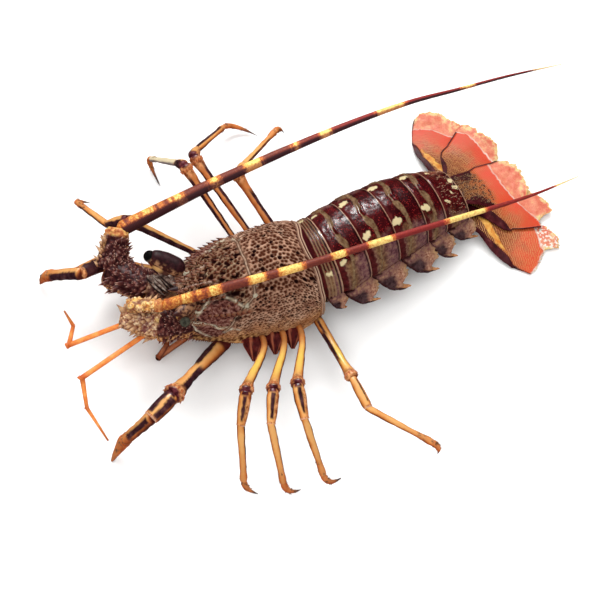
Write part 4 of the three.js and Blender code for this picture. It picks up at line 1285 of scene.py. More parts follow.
def flap_skin(skin, number, side):
    """A side flap: a curved plate that ends in a point hooked backwards."""
    drop = np.linspace(-0.06, 1, FLAP_GRID[0])[:, None]
    lane = np.linspace(0, 1, FLAP_GRID[1])[None, :]
    drop, lane = np.broadcast_arrays(drop, lane)
    teeth = 0.04 * np.abs(((drop * 15) % 2) - 1) * smooth(drop, 0.15, 0.25) * smooth(drop, 0.72, 0.62)
    ragged = 0.1 * (cloud_along(drop * 9, 1, 61, row=number) - 0.5)
    rear = np.interp(drop, *zip(*FLAP_REAR)) + teeth + ragged * smooth(drop, 0.9, 0.7)
    front = np.interp(drop, *zip(*FLAP_FRONT))
    share = front + (rear - front) * lane
    _, top, half, _, _, _ = ring_table(number, np.clip(share, 0, 1))
    tip_half, tip_z = sample_rows(JOINTS, np.array([number - 0.35]))[0, 4:]
    foot = tip_z + (top - tip_z) * SIDE_HEIGHT
    down = np.clip(drop, 0, 1)
    x = half + (tip_half - half) * down**1.3 + 1.6 * np.sin(down * math.pi)
    z = foot - (foot - tip_z) * drop
    length = JOINTS[number][0] - JOINTS[number - 1][0]
    y = TAIL_PIVOT_Y + JOINTS[number - 1][0] + share * length
    # the front part is hollow, the part behind it stands out in lumps
    hollow = bell(lane, 0.3, 0.2) * smooth(down, 0.25, 0.6)
    lump = bell(lane, 0.78, 0.2) * smooth(down, 0.05, 0.3) * smooth(down, 0.95, 0.7)
    dome = np.sin(lane * math.pi) * 1.2 * (1 - down * 0.6) - 1.6 * hollow + 1.8 * lump
    outer = np.stack([side * (x + dome), y, z], -1)
    grain = cloud(outer, 1.7, 61 + number) - 0.5
    wave = (cloud(outer, 4, 60 + number) - 0.5) * 1.4 + grain * (0.4 + 1.4 * lump)
    outer[..., 0] += side * wave
    thick = 1.2 * np.minimum(1, 4 * lane * (1 - lane) + 0.15)
    inner = outer - np.array([side, 0, 0]) * thick[..., None]
    rings = np.concatenate([outer, inner[:, ::-1]], 1)
    points, faces = folded_sheet(bend_tail(rings))
    wander = lane + grain * 0.12
    painted = {
        "flap_edge": smooth(wander, 0.8, 0.95) * smooth(down, 0.1, 0.3),
        "flap_tip": smooth(down + grain * 0.1, 0.74, 0.86) * smooth(wander, 0.2, 0.5),
        "flap_lump": lump,
        "strip": np.maximum(smooth(wander, 0.14, 0.05), smooth(down, 0.1, 0.0) * (wander < 0.3)),
        # painted shade over the hollow front part of the flap
        "flap_front": smooth(wander, 0.56, 0.42) * smooth(down, 0.14, 0.36),
    }
    skin.add(points, faces, flap=1, **{key: both_faces(value) for key, value in painted.items()})


def abdomen_material():
    paint = Paint("abdomen_shell", Coat_Weight=0.6, Coat_Roughness=0.07)
    grain, mottle = paint.noise(330, 2), paint.noise(300, 5, 0.65)
    speck = paint.maths("MULTIPLY", paint.span(paint.cells(900), 0.42, 0.2), paint.span(grain, 0.35, 0.6))
    maroon = paint.mottle(60, 3, [(0.3, (40, 4, 8)), (0.7, (74, 10, 16))])
    purple = paint.ramp(mottle, [(0.3, (66, 24, 30)), (0.45, (116, 72, 78)), (0.58, (142, 100, 92)),
                                 (0.72, (176, 132, 96))])
    brown = paint.ramp(mottle, [(0.3, (70, 38, 28)), (0.5, (128, 92, 62)), (0.7, (172, 132, 92))])
    furrow = paint.mottle(420, 4, [(0.3, (98, 68, 48)), (0.6, (146, 116, 84)), (0.75, (180, 144, 104))])
    strip = paint.mottle(240, 3, [(0.3, (58, 10, 14)), (0.7, (104, 34, 34))])
    colour = paint.coats(
        paint.mix(speck, maroon, (172, 44, 42)), ("flank", paint.coats(purple, ("olive", brown, 1)), 1),
        ("furrow", furrow, 0.95), ("strip", strip, 1), ("lines", (168, 132, 100), 0.8),
        ("seam", (28, 4, 6), 1), ("edge", (186, 146, 118), 1), ("spot", (240, 222, 172), 1))
    flap = paint.ramp(mottle, [(0.3, (92, 48, 46)), (0.45, (130, 88, 84)), (0.58, (160, 116, 94)),
                               (0.7, (186, 140, 98))])
    lump = paint.mottle(560, 4, [(0.3, (116, 62, 50)), (0.5, (180, 126, 102)), (0.7, (226, 182, 146))])
    # hollow: the painted shade for the flap's hollow front part
    hollow = paint.ramp(mottle, [(0.35, (44, 22, 26)), (0.65, (88, 64, 68))])
    point = paint.ramp(mottle, [(0.35, (168, 96, 56)), (0.6, (230, 166, 112))])
    flap = paint.coats(flap, ("flap_lump", lump, 1), ("flap_front", hollow, 0.95),
                       ("flap_edge", (200, 158, 112), 0.7), ("flap_tip", point, 1),
                       ("strip", (60, 24, 26), 1))
    spine = paint.ramp(paint.value("tip"), [(0.1, (96, 50, 44)), (0.6, (208, 170, 138))])
    colour = paint.coats(colour, ("flap", flap, 1), ("spine", spine, 1))
    dull = paint.maths("MAXIMUM", paint.value("flap"), paint.value("flank"))
    return paint.finish(colour, paint.span(dull, 0, 1, 0.3, 0.5), paint.noise(330, 4), 0.5)


def make_abdomen():
    material = abdomen_material()
    for number in range(1, len(JOINTS)):
        skin = Skin()
        tergite_skin(skin, number)
        for side in SIDES.values():
            flap_skin(skin, number, side)
        skin.build(f"tail_ring_{number}", material, "abdomen_shell", [f"abdomen_{number}"])


# ---------------------------------------------------------------------------
# Tail fan
# ---------------------------------------------------------------------------

# Each blade lies along a line from its root, turned outward. Along that line, outer and inner give
# (millimetres from the root, width). Across it, from the inner edge (-1) to the outer edge (1), end
# and line give (share of the width, millimetres from the root) of the far edge and of the pale line
# between shell and membrane. ridge is the inner edge of the dark outer part, and lobe the outline of a
# dark lobe, both as (along, across). z is the height of the underside at the root and beyond the droop.
FAN = {
    "telson": {
        "root": (0, 134.6), "turn": 1, "z": (27, 6.4),
        "outer": [(0, 13), (20, 18), (37, 21.5), (50, 21), (60, 22)],
        "inner": [(0, 13), (20, 18), (37, 22), (50, 19), (57, 18.5)],
        "end": [(-1, 56), (-0.75, 64), (-0.3, 67), (0.1, 68), (0.45, 67), (0.8, 64), (1, 60)],
        "line": [(-1, 49), (-0.6, 47.5), (0, 47), (0.5, 47.5), (1, 48)],
    },
    "endopod_left": {
        "root": (13, 137), "turn": 19, "z": (14, 3.4),
        "outer": [(0, 3), (12, 5), (19, 9), (23, 13), (29, 18), (35, 20), (37, 18), (43, 19.5), (60, 21)],
        "inner": [(0, 8), (20, 14), (40, 20), (60, 22)],
        "end": [(-1, 56), (-0.41, 64), (-0.23, 69), (0.1, 72), (0.38, 73.5), (0.48, 67), (0.62, 61),
                (1, 60)],
        "line": [(-1, 42), (-0.18, 48), (0.05, 51), (0.33, 54), (0.57, 58), (0.81, 60), (1, 60)],
    },
    "endopod_right": {
        "root": (-13, 137), "turn": 24, "z": (14, 3.4),
        "outer": [(0, 5), (15, 11), (28, 21), (34, 24), (38, 24), (42, 23.5), (60, 25), (68, 25)],
        "inner": [(0, 8), (20, 14), (40, 19), (60, 20)],
        "end": [(-1, 49), (-0.85, 57), (-0.65, 63), (-0.4, 69), (0, 70), (0.36, 69), (0.6, 72), (0.8, 71),
                (1, 68)],
        "line": [(-1, 49), (-0.8, 50), (-0.5, 52), (-0.05, 56), (0.33, 60), (0.68, 62), (1, 59)],
        "lobe": [(11, 5), (19, 9), (25, 14), (30, 21), (33, 30), (6, 30), (6, 8)],
    },
    "exopod_left": {
        "root": (20, 134.6), "turn": 47, "z": (9, 0.6),
        "outer": [(0, 4), (12, 6), (18, 11), (24, 16), (31, 20), (37, 23), (44, 25.5), (46, 25), (60, 27)],
        "inner": [(0, 8), (20, 14), (40, 18), (60, 20)],
        "end": [(-1, 64), (-0.55, 74), (-0.1, 77.5), (0.1, 67), (0.33, 64.5), (0.66, 64), (0.9, 62),
                (1, 60)],
        "line": [(-1, 54), (-0.6, 56), (-0.35, 59), (0, 62.5), (0.15, 66), (0.33, 64.5), (0.66, 64),
                 (1, 60)],
        "ridge": [(0, -2), (15, 4), (20, 7), (27, 10), (33, 13), (40, 17), (45, 22.5), (52, 25),
                  (60, 26.5)],
    },
    "exopod_right": {
        "root": (-20, 134.6), "turn": 52, "z": (9, 0.6),
        "outer": [(0, 4), (12, 6), (23, 12), (31, 18), (37, 21), (46, 23.5), (58, 24.5), (66, 24.5),
                  (74, 23)],
        "inner": [(0, 8), (20, 14), (40, 18), (60, 20)],
        "end": [(-1, 62), (-0.75, 69), (-0.5, 72), (-0.2, 75), (0.1, 78), (0.45, 80), (0.85, 77), (1, 70)],
        "line": [(-1, 54), (-0.3, 56), (0.04, 58), (0.33, 61), (0.6, 61), (1, 60)],
        "ridge": [(0, -2), (15, 2), (27, 9), (31, 13), (38, 16), (44, 20), (47, 23), (60, 23.8),
                  (74, 22.5)],
    },
}
# Yellow streak beside the ridge of an outer blade, and dark lobe on the outer edge of an inner blade,
# as (along, across) in millimetres.
GOLD_STREAK = [(10, -9), (18, -4), (22, 1), (27, 5), (33, 10), (39, 14.5)]
DARK_LOBE = [(6, -6), (17, 2), (23, 1), (27, 5), (32, 11), (36, 20), (36, 30), (0, 30), (0, 0)]
TELSON_LOBE = [(0, 11), (16, 9), (24, 9), (30, 16), (33, 23), (0, 30)]
DROOP_END = 0.55  # how far along a blade its droop ends, as a share of its reach
BLADE_GRID = (132, 66)  # rows along a blade, and points across it
PITTED_BLADE = "exopod_left"  # the blade whose membrane is speckled with pale holes
TELSON_SPINES = 240
TELSON_LENGTH = 66.0  # the middle blade's length where its spines stand, in millimetres


def blade_surface(name, spec, share, lane, seed):
    """Top surface of a blade at these places, with its painted values."""
    side = -1 if name.endswith("right") else 1
    reach = max(along for _, along in spec["end"])
    end = np.interp(lane, *zip(*spec["end"]))
    teeth = cloud_along(lane * 8, 1, seed) - 0.5
    teeth = teeth + 0.7 * (cloud_along(lane * 26, 1, seed + 1) - 0.5)
    end = end + 2.6 * teeth * smooth(end, spec["line"][0][1] - 2, spec["line"][0][1] + 8)
    along = share * end
    outer, inner = np.interp(along, *zip(*spec["outer"])), np.interp(along, *zip(*spec["inner"]))
    across = lane * np.where(lane > 0, outer, inner)
    line = np.interp(lane, *zip(*spec["line"])) + (cloud_along(across, 2, seed) - 0.5)
    soft = smooth(along - line, -0.3, 0.5)
    turn = math.radians(spec["turn"]) * side
    heading = np.array([math.sin(turn), math.cos(turn)])
    sideways = np.array([heading[1], -heading[0]]) * side
    x = spec["root"][0] + along * heading[0] + across * sideways[0]
    y = TAIL_PIVOT_Y + spec["root"][1] + along * heading[1] + across * sideways[1]
    spot = np.stack([along, across, along * 0], -1)
    droop = spec["z"][0] + (spec["z"][1] - spec["z"][0]) * smooth(along / reach, 0, DROOP_END)
    crown = 2.6 * (1 - np.abs(lane) ** 2.4) * smooth(along, -10, 20) * (1 - 0.5 * along / reach)
    ribs = 0.14 * np.sin(across * 3.4 + 1.5 * np.sin(along * 0.15)) * soft
    wave = (cloud(spot, 9, seed + 2) - 0.5) * 2.0 * soft + (cloud(spot, 3, seed + 3) - 0.5) * 0.7 * soft
    ripple = 0.1 * np.sin(along * 3.6 + 1.2 * cloud(spot, 6, seed + 4)) * smooth(along / line, 0.9, 0.5)
    wobble = (cloud(spot, 3, seed + 5) - 0.5) * 2.4
    ridge, gold, lobe = np.zeros((3,) + along.shape)
    if "ridge" in spec:
        ridge = smooth(across - np.interp(along, *zip(*spec["ridge"])) + wobble * 0.2, -0.4, 0.5)
        gold_width = np.interp(along, [8, 16, 30, 39], [1.0, 3.4, 2.6, 0.6])
        streak = line_distance(spot[..., :2], GOLD_STREAK) + wobble * 0.8
        gold = (1 - smooth(streak, gold_width * 0.7, gold_width)) * (1 - ridge)
    elif name == "telson":
        flat = np.stack([along, np.abs(across)], -1) + wobble[..., None] * 0.8
        lobe = inside(flat, TELSON_LOBE).astype(float)
        # a dark line along the telson's edge where the next blade meets it, partly its own dark edge and
        # partly painted shadow
        lobe = np.maximum(lobe, smooth(-across - inner, -1.6, -0.9) * smooth(along, 26, 32))
    else:
        lobe = inside(spot[..., :2] + wobble[..., None] * 0.4, spec.get("lobe", DARK_LOBE)).astype(float)
        # a dark outer edge along the hard part, partly its own dark edge and partly painted shadow where
        # the blade overlaps the next
        lobe = np.maximum(lobe, smooth(across - outer, -1.3, -0.7) * (1 - soft))
    height = droop + 1.0 + crown + ribs + wave + ripple - 0.6 * soft + 1.5 * ridge * smooth(along, 46, 40)
    height = height + 0.4 * gold + 0.7 * lobe
    painted = {
        "along_mm": along, "tip_mm": end - along, "base": np.clip(along / line, 0, 1), "soft": soft,
        "line": bell(along - line, 0.1, 0.55) * (1 - ridge), "ridge": ridge, "gold": gold, "lobe": lobe,
        "plain": np.full(along.shape, float(name != PITTED_BLADE)),
    }
    return np.stack([x, y, height], -1), painted


def blade_skin(name, spec, seed):
    share = np.linspace(0, 1, BLADE_GRID[0])[:, None]
    lane = np.linspace(-1, 1, BLADE_GRID[1])[None, :]
    share, lane = np.broadcast_arrays(share, lane)
    top, painted = blade_surface(name, spec, share, lane, seed)
    thick = (0.5 + 1.5 * (1 - painted["soft"])) * np.minimum(1, 6 * (1 - np.abs(lane)) + 0.2)
    low = top - np.array([0, 0, 1.0]) * thick[..., None]
    low[..., 2] = np.maximum(low[..., 2], 0.1)
    top[..., 2] = np.maximum(top[..., 2], low[..., 2] + 0.2)
    points, faces = folded_sheet(bend_tail(np.concatenate([top, low[:, ::-1]], 1)))
    skin = Skin()
    skin.add(points, faces, **{key: both_faces(value) for key, value in painted.items()})
    return skin


def telson_spines(skin, seed):
    """Rows of small pale spines on the base of the middle blade."""
    random = np.random.default_rng(seed)
    share = random.uniform(2, 34, TELSON_SPINES) / TELSON_LENGTH
    lane = random.uniform(-0.85, 0.85, TELSON_SPINES)
    points, _ = blade_surface("telson", FAN["telson"], share, lane, 70)
    lean = np.array([0, 1.0, 0.45]) + random.uniform(-0.25, 0.25, (TELSON_SPINES, 3))
    height = random.uniform(1.0, 2.2, TELSON_SPINES)
    skin.add_spines(bend_tail(points), unit(lean), height, 0.55, 5)


def fan_material():
    paint = Paint("tail_fan")
    base = paint.maths("ADD", paint.value("base"), paint.span(paint.noise(90, 4), 0.3, 0.7, -0.09, 0.09))
    hard = paint.ramp(base, [(0.1, (76, 28, 20)), (0.42, (118, 54, 32)), (0.62, (162, 74, 42)),
                             (0.8, (216, 86, 48)), (1.0, (228, 74, 40))])
    wave = paint.maths("SINE", paint.maths("ADD", paint.maths("MULTIPLY", paint.value("along_mm"), 4.6),
                                           paint.span(paint.noise(260, 2), 0, 1, 0, 6)))
    grain = paint.maths("MULTIPLY", paint.span(wave, 0.0, 0.8), paint.span(paint.cells(620), 0.15, 0.45))
    pitted = paint.maths("SUBTRACT", 1.0, paint.value("plain"))
    scaly = paint.span(base, 0.9, 0.6, 0.0, 0.85)
    scaly = paint.maths("MAXIMUM", scaly, paint.maths("MULTIPLY", pitted, 0.6))
    hard = paint.mix(paint.maths("MULTIPLY", grain, scaly), hard, (228, 162, 98))
    blotch = paint.noise(150, 5, 0.7)
    soft = paint.ramp(blotch, [(0.3, (222, 96, 72)), (0.45, (236, 132, 104)), (0.58, (242, 152, 118)),
                               (0.72, (252, 204, 140))])
    tip = paint.value("tip_mm")
    torn = paint.maths("MULTIPLY", paint.span(tip, 9, 3), paint.span(blotch, 0.46, 0.6))
    soft = paint.mix(paint.maths("MULTIPLY", torn, 0.8), soft, (246, 226, 160))
    soft = paint.mix(paint.span(tip, 1.6, 0.4, 0, 0.75), soft, (240, 206, 118))
    holes = paint.maths("MULTIPLY", pitted, paint.span(paint.noise(420, 3), 0.5, 0.58))
    soft = paint.mix(holes, soft, (255, 246, 232))
    dark = paint.mottle(200, 4, [(0.35, (50, 4, 12)), (0.6, (84, 20, 28)), (0.75, (112, 54, 52))])
    gold = paint.mottle(240, 3, [(0.35, (222, 130, 48)), (0.65, (248, 190, 96))])
    spine = paint.ramp(paint.value("tip"), [(0.2, (70, 34, 28)), (0.9, (196, 154, 112))])
    colour = paint.coats(hard, ("soft", soft, 1), ("line", (255, 236, 222), 0.95), ("lobe", dark, 1),
                         ("ridge", dark, 1), ("gold", gold, 1), ("spine", spine, 1))
    return paint.finish(colour, 0.45, grain, 0.12)


def make_fan():
    material = fan_material()
    for i, (name, spec) in enumerate(FAN.items()):
        skin = blade_skin(name, spec, 70 + 5 * i)
        if name == "telson":
            telson_spines(skin, 9)
        skin.build(f"fan_{name}", material, "tail_fan", [name])


# ---------------------------------------------------------------------------
# Walking legs
# ---------------------------------------------------------------------------

# Where the hips are, the length of each link of legs 1 to 5, and how stout each leg is.
LEG = {
    "hip_x": 29, "hip_z": 14, "hip_y": [-66, -41, -24, -10, 7],
    "merus": {"left": [81, 91.8, 88, 97.6, 69.5], "right": [75.5, 90.5, 92.6, 99.1, 73.9]},
    "carpus": {"left": [22, 25, 24.6, 25, 26.5], "right": [27, 26, 22.6, 28.6, 20.5]},
    "propodus": {"left": [40, 45.2, 46, 48.7, 53], "right": [41, 45.5, 45, 43.9, 53]},
    "dactyl": {"left": [23, 18.5, 23.5, 27.5, 17], "right": [23, 18.5, 23.5, 32, 17]},
    "girth": [1.35, 1, 1, 1, 0.95],
}
MIDDLE_LEGS = (1, 2, 3)  # the slender legs between the first and the last, counted from 0
LAST_LEG = 4
LINK_FLATNESS = 0.9
# Where a link turns dark all round at the knee, as shares of its length.
KNEE_END = {"merus": (0.985, 0.995), "carpus": (0.04, 0.01)}
CREAM_LINK = (-1, 2, "propodus")  # side, leg and part of the one pale link
TIP_HEIGHT = 0.6  # of each claw's tip, in millimetres
CLAW_CLEARANCE = 1.6  # least height of the bend in a claw, in millimetres
LINK_SINK = {"carpus": 1.5, "propodus": 1.6}  # how far a link starts inside the one before, in millimetres
CLAW_HOOK = {"first": 0.28, "other": 0.42}  # how far on a claw runs before it turns down, as a share of it
# The wedge between the body and a middle leg: (outward, tailward from the hip, height) and radius.
HIP_WEDGE = [((27, -2.5, 17.0), 9.5), ((40, -4.5, 19.0), 8.2), ((54.5, -9.0, 18.5), 1.0)]
WEDGE_GRID = (40, 40)  # rings along the wedge, and points round it
WEDGE_FLATNESS = 0.75
WEDGE_RIDGES = 5
TUFT_HAIRS = 6
BOW_PEAK = 27 / 4  # makes the largest value of share * (1 - share)**2 equal to 1
# Heading and slope of each link in degrees, and the heading of the claw.
LEG_POSES = {
    "left": [
        ((-48.2, 28.7), (-61.6, -3.7), (-102.9, -57.6), -69),
        ((-22.6, 35.4), (-32.2, -40.8), (-17.1, -51.4), 46),
        ((-20.3, 30.8), (-23.4, -15.4), (-4.5, -44.7), 81),
        ((-17.1, 34), (-8.1, -12.8), (7, -53.8), 94),
        ((5, 11), (5, -1), (44, -11), 47),
    ],
    "right": [
        ((-67, 15), (-118, 31), (-45, -41), -53),
        ((-54, 25), (-49, -44), (-21, -25), 57),
        ((-19.8, 29.1), (-8, -48.8), (-26, -41), 179),
        ((-19.7, 22.9), (21.9, -45.9), (49, -25.6), 111),
        ((-16.5, 22.5), (37.8, -36), (49, -18), 60),
    ],
}
# Radius along each link, as (share of the length, millimetres).
SLIM_SHAPES = {
    "merus": [(0, 2.4), (0.3, 2.4), (0.5, 2.8), (0.84, 3.5), (0.93, 4.5), (0.97, 5.2), (0.99, 4.8),
              (1, 3.6)],
    "carpus": [(0, 3.2), (0.07, 4.0), (0.2, 4.5), (0.5, 4.3), (0.8, 3.6), (0.95, 3.1), (1, 2.8)],
    "propodus": [(0, 2.6), (0.1, 2.9), (0.5, 2.7), (0.82, 2.3), (0.93, 2.8), (1, 2.3)],
    "dactyl": [(0, 2.1), (0.15, 2.5), (0.45, 2.1), (0.75, 1.2), (1, 0.25)],
}
FIRST_SHAPES = {
    "merus": [(0, 4.5), (0.25, 4.4), (0.42, 3.8), (0.55, 3.3), (0.7, 3.4), (0.84, 4.1), (0.93, 5.3),
              (0.97, 5.9), (0.99, 5.3), (1, 4)],
    "carpus": [(0, 3.4), (0.07, 4.0), (0.25, 4.6), (0.7, 4.6), (0.9, 4.3), (1, 3.9)],
    "propodus": [(0, 3.6), (0.08, 3.9), (0.5, 3.5), (0.85, 3.2), (0.94, 3.7), (1, 3.4)],
    "dactyl": [(0, 3.5), (0.15, 3.8), (0.5, 2.9), (0.85, 1.4), (1, 0.5)],
}
LAST_SHAPES = {
    "merus": [(0, 3.6), (0.15, 4.1), (0.45, 3.6), (0.7, 3.4), (0.84, 3.8), (0.93, 4.8), (0.97, 5.3),
              (0.99, 4.8), (1, 3.4)],
    "carpus": [(0, 2.6), (0.07, 3.2), (0.4, 3.7), (0.85, 3.9), (0.95, 3.4), (1, 2.8)],
    "propodus": [(0, 2.5), (0.05, 2.8), (0.5, 2.5), (0.8, 2.2), (0.94, 3.0), (1, 2.7)],
    "dactyl": [(0, 2.6), (0.15, 2.9), (0.45, 2.4), (0.75, 1.4), (1, 0.3)],
}
LEG_SHAPES = [FIRST_SHAPES, SLIM_SHAPES, SLIM_SHAPES, SLIM_SHAPES, LAST_SHAPES]
LINK_GRID = {"merus": (76, 40), "carpus": (40, 40), "propodus": (50, 30), "dactyl": (34, 18)}
# Dark panels of each link: (middle and half-width as degrees from the top towards the head, from and
# to as shares of the length).
SLIM_PANELS = {
    "merus": [(-78, 16, 0.1, 0.85), (-120, 30, 0, 0.8), (150, 30, 0.1, 0.9), (88, 16, 0.3, 0.9)],
    "carpus": [(-6, 20, 0.1, 0.86), (86, 20, -0.1, 0.9)],
    "propodus": [(-66, 15, -0.1, 0.8)],
}
PANELS = {
    "left": [
        {
            "merus": [(-58, 40, 0.5, 0.92), (50, 44, -0.1, 0.52), (86, 16, 0.5, 0.97)],
            "carpus": [(50, 44, 0.0, 0.9), (-42, 30, 0.1, 1.1)],
            "propodus": [(-34, 30, 0.0, 0.82), (90, 16, -0.1, 0.75)],
        },
        SLIM_PANELS, SLIM_PANELS, SLIM_PANELS,
        {
            "merus": [(46, 26, 0.3, 0.76), (18, 18, 0.13, 0.38), (20, 60, -0.1, 0.1), (-160, 40, 0, 0.8)],
            "carpus": [(-30, 5, 0.1, 0.85), (96, 14, 0.1, 0.9)],
            "propodus": [(-88, 10, -0.1, 0.5)],
        },
    ],
    "right": [
        {
            "merus": [(56, 58, 0, 0.95)],
            "carpus": [(30, 60, 0.05, 0.95)],
            "propodus": [(70, 50, 0.0, 0.9)],
        },
        {"merus": [(62, 52, 0, 0.95)], "carpus": [(60, 40, 0.1, 0.95)], "propodus": [(80, 26, 0, 0.9)]},
        {"merus": [(62, 34, 0, 0.92), (-52, 36, 0, 0.84)], "carpus": [(50, 46, 0, 0.9)], "propodus": []},
        {"merus": [(84, 22, 0.5, 0.9), (-44, 40, 0, 0.94)], "carpus": [(70, 40, 0, 0.9)],
         "propodus": [(22, 36, -0.1, 0.95)]},
        {"merus": [(84, 22, 0, 0.5), (-38, 36, 0.3, 0.76)], "carpus": [(80, 30, 0, 0.9)],
         "propodus": [(-50, 16, 0, 0.8)]},
    ],
}
THIGH_BOW = {"left": [0, 9.5, 7.5, 6, 0], "right": [0, 0, 0, 0,
                                                    0]}  # how far the second link swings out tailward


def heading(turn, slope, side):
    """The way a link points: turned from straight outward towards the tail, and up, in degrees."""
    t, s = math.radians(turn), math.radians(slope)
    return np.array([side * math.cos(t) * math.cos(s), math.sin(t) * math.cos(s), math.sin(s)])


def leg_joints(index, name):
    """Hip, knee, wrist, ankle and tip of a leg. The claw slopes so that its tip is near the surface."""
    side = SIDES[name]
    merus, carpus, propodus, claw = LEG_POSES[name][index]
    joints = [np.array([side * LEG["hip_x"], LEG["hip_y"][index], LEG["hip_z"]], float)]
    for part, pose in (("merus", merus), ("carpus", carpus), ("propodus", propodus)):
        joints.append(joints[-1] + heading(*pose, side) * LEG[part][name][index])
    claw_length = LEG["dactyl"][name][index]
    fall = math.degrees(math.asin((TIP_HEIGHT - joints[-1][2]) / claw_length))
    joints.append(joints[-1] + heading(claw, fall, side) * claw_length)
    return joints


def link_skin(skin, centres, part, side, index, panels, seed):
    """One link of a leg along a run of centres, with its dark panels."""
    rows, sides = LINK_GRID[part]
    girth = LEG["girth"][index]
    share = np.linspace(0, 1, rows)
    _, across, rise = ring_frames(np.gradient(centres, axis=0))
    radius = np.interp(share, *zip(*LEG_SHAPES[index][part])) * girth
    angle = circle(sides)
    ring = spokes(angle, across, rise, LINK_FLATNESS)
    rings = centres[:, None] + ring * radius[:, None, None]
    rings = rings + ring * ((cloud(rings, 5, seed) - 0.5) * 0.6 * girth)[..., None]
    rings[..., 2] = np.maximum(rings[..., 2], 0.15)
    closed, faces = closed_tube(rings)
    around = np.degrees(np.arctan2(side * np.cos(angle), np.sin(angle)))[None, :]
    slim = index in MIDDLE_LEGS
    none = np.zeros(rows)
    rusty = smooth(share, 0.52, 0.3) * 0.6 * slim if side > 0 else none + (0.75 if index > 1 else 0)
    waver = (cloud(rings, 8, seed + 1) - 0.5) * 16 + (cloud(rings, 2, seed + 2) - 0.5) * 12
    dark = np.zeros(rings.shape[:2])
    for middle, half, first, last in panels:
        off = np.abs((around - middle + 180) % 360 - 180) + waver
        reach = share[:, None] + waver * 0.002
        mask = (1 - smooth(off, half - 6, half + 6)) * smooth(reach, first - 0.03, first + 0.05)
        dark = np.maximum(dark, mask * (1 - smooth(reach, last - 0.06, last + 0.03)))
    # top: how far each point faces up, which leg_shell uses for painted light and shade
    top = np.broadcast_to(np.sin(angle), rings.shape[:2])
    ball = {"merus": smooth(share, 0.965, 0.98), "carpus": smooth(share, 0.15, 0.07)}.get(part, none)
    joint = ball[:, None] * (1 - smooth(np.abs(around + waver * 0.4), 34, 50))
    fringe = smooth(-around + waver, 24, 36) * bell(share, 0.45, 0.4)[:, None] * (slim and part == "carpus")
    if part in KNEE_END:
        joint = np.maximum(joint, smooth(share, *KNEE_END[part])[:, None])
    joint = joint * (index != LAST_LEG)
    profiles = {
        "collar": {"merus": smooth(share, 0.85, 0.93), "carpus": smooth(share, 0.9, 0.97)}.get(part, none),
        "seam": smooth(share, 0.95, 0.98) if part == "carpus" and side > 0 else none,
        "root": smooth(share, 0.17, 0.1) if part == "merus" else none,
        "claw": smooth(share, 0.55, 0.9) * (1 if index else 0.3) if part == "dactyl" else none,
        # gold: where the painted yellow highlight runs along the thighs of left legs 2 to 5
        "gold": bell(share, 0.66, 0.18) if part == "merus" and side > 0 and index else none,
        "rust": {"dactyl": none + 0.9, "propodus": smooth(share, 0.3, 1.0) * 0.6,
                 "merus": rusty}.get(part, none),
    }
    painted = {key: per_ring(value, rings) for key, value in profiles.items()}
    painted.update(fringe=fringe, dark=dark, joint=joint, top=top * 0.5 + 0.5)
    painted = {key: end_values(value) for key, value in painted.items()}
    skin.add(closed, faces, cream=float((side, index, part) == CREAM_LINK), **painted)
    return centres, across, rise, radius


def straight(start, end, part, bow=0.0):
    """Centres of a link from start to end, which may swing out tailward by bow millimetres."""
    share = np.linspace(0, 1, LINK_GRID[part][0])[:, None]
    swing = share * (1 - share) ** 2 * BOW_PEAK * bow
    return start + share * (end - start) + swing * np.array([0.1, 1.0, 0.25])


def hooked(start, middle, end, part):
    """Centres of a link that bends once, towards middle."""
    share = np.linspace(0, 1, LINK_GRID[part][0])[:, None]
    return (1 - share) ** 2 * start + 2 * share * (1 - share) * middle + share**2 * end


def joint_spines(skin, centres, across, rise, radius, count, height):
    """A crown of small spines at the far end of a link."""
    at = int(len(centres) * 0.94)
    along = unit(centres[at] - centres[at - 3])
    angle = circle(count) + 0.4
    out = np.cos(angle)[:, None] * across[at] + np.sin(angle)[:, None] * rise[at] * 0.88
    bases = centres[at] + out * radius[at] * 0.95
    skin.add_spines(bases, unit(out * 0.55 + along), height, height * 0.34, 6)


def claw_hairs(skin, centres, across, rise, radius, seed, first=0.02, last=0.7, tufts=15):
    """Short stiff bristles in tufts round the end of the leg."""
    random = np.random.default_rng(seed)
    at = (random.uniform(first, last, tufts)[:, None] * len(centres)).astype(int)
    at = np.repeat(at, TUFT_HAIRS, 1) + random.integers(0, 2, (tufts, TUFT_HAIRS))
    at = np.clip(at, 0, len(centres) - 1).ravel()
    angle = random.uniform(0, 2 * math.pi, (tufts, 1)) + random.uniform(-0.3, 0.3, (tufts, TUFT_HAIRS))
    angle = angle.ravel()
    out = np.cos(angle)[:, None] * across[at] + np.sin(angle)[:, None] * rise[at]
    along = unit(centres[-1] - centres[0])
    bases = centres[at] + out * (radius[at] * 0.9)[:, None]
    lean = unit(out * 0.7 + along)
    points, faces, tip = spikes(bases, lean, random.uniform(1.0, 2.0, len(at)), 0.2, 3)
    points[:, 2] = np.maximum(points[:, 2], 0.1)
    skin.add(points, faces, tip=tip, hair=1)


def leg_base(skin, index, side):
    """The short dark links between the body and the leg, as a ridged wedge that points outward."""
    path = [(side * x, LEG["hip_y"][index] + y, z) for (x, y, z), _ in HIP_WEDGE]
    girths = [radius for _, radius in HIP_WEDGE]
    rings, reach, out = tube_rings(path, girths, *WEDGE_GRID, WEDGE_FLATNESS)
    ridges = 0.5 * np.sin(circle(WEDGE_GRID[1]) * WEDGE_RIDGES + reach[:, None] * 0.09)
    fold = bell(reach, reach[-1] * 0.45, 1.0)[:, None]
    rings = rings + out * (ridges * smooth(reach, 2, 10)[:, None] - 0.9 * fold)[..., None]
    closed, faces = closed_tube(rings)
    skin.add(closed, faces, root=1, crest=end_values(smooth(ridges, 0.3, 0.48)))


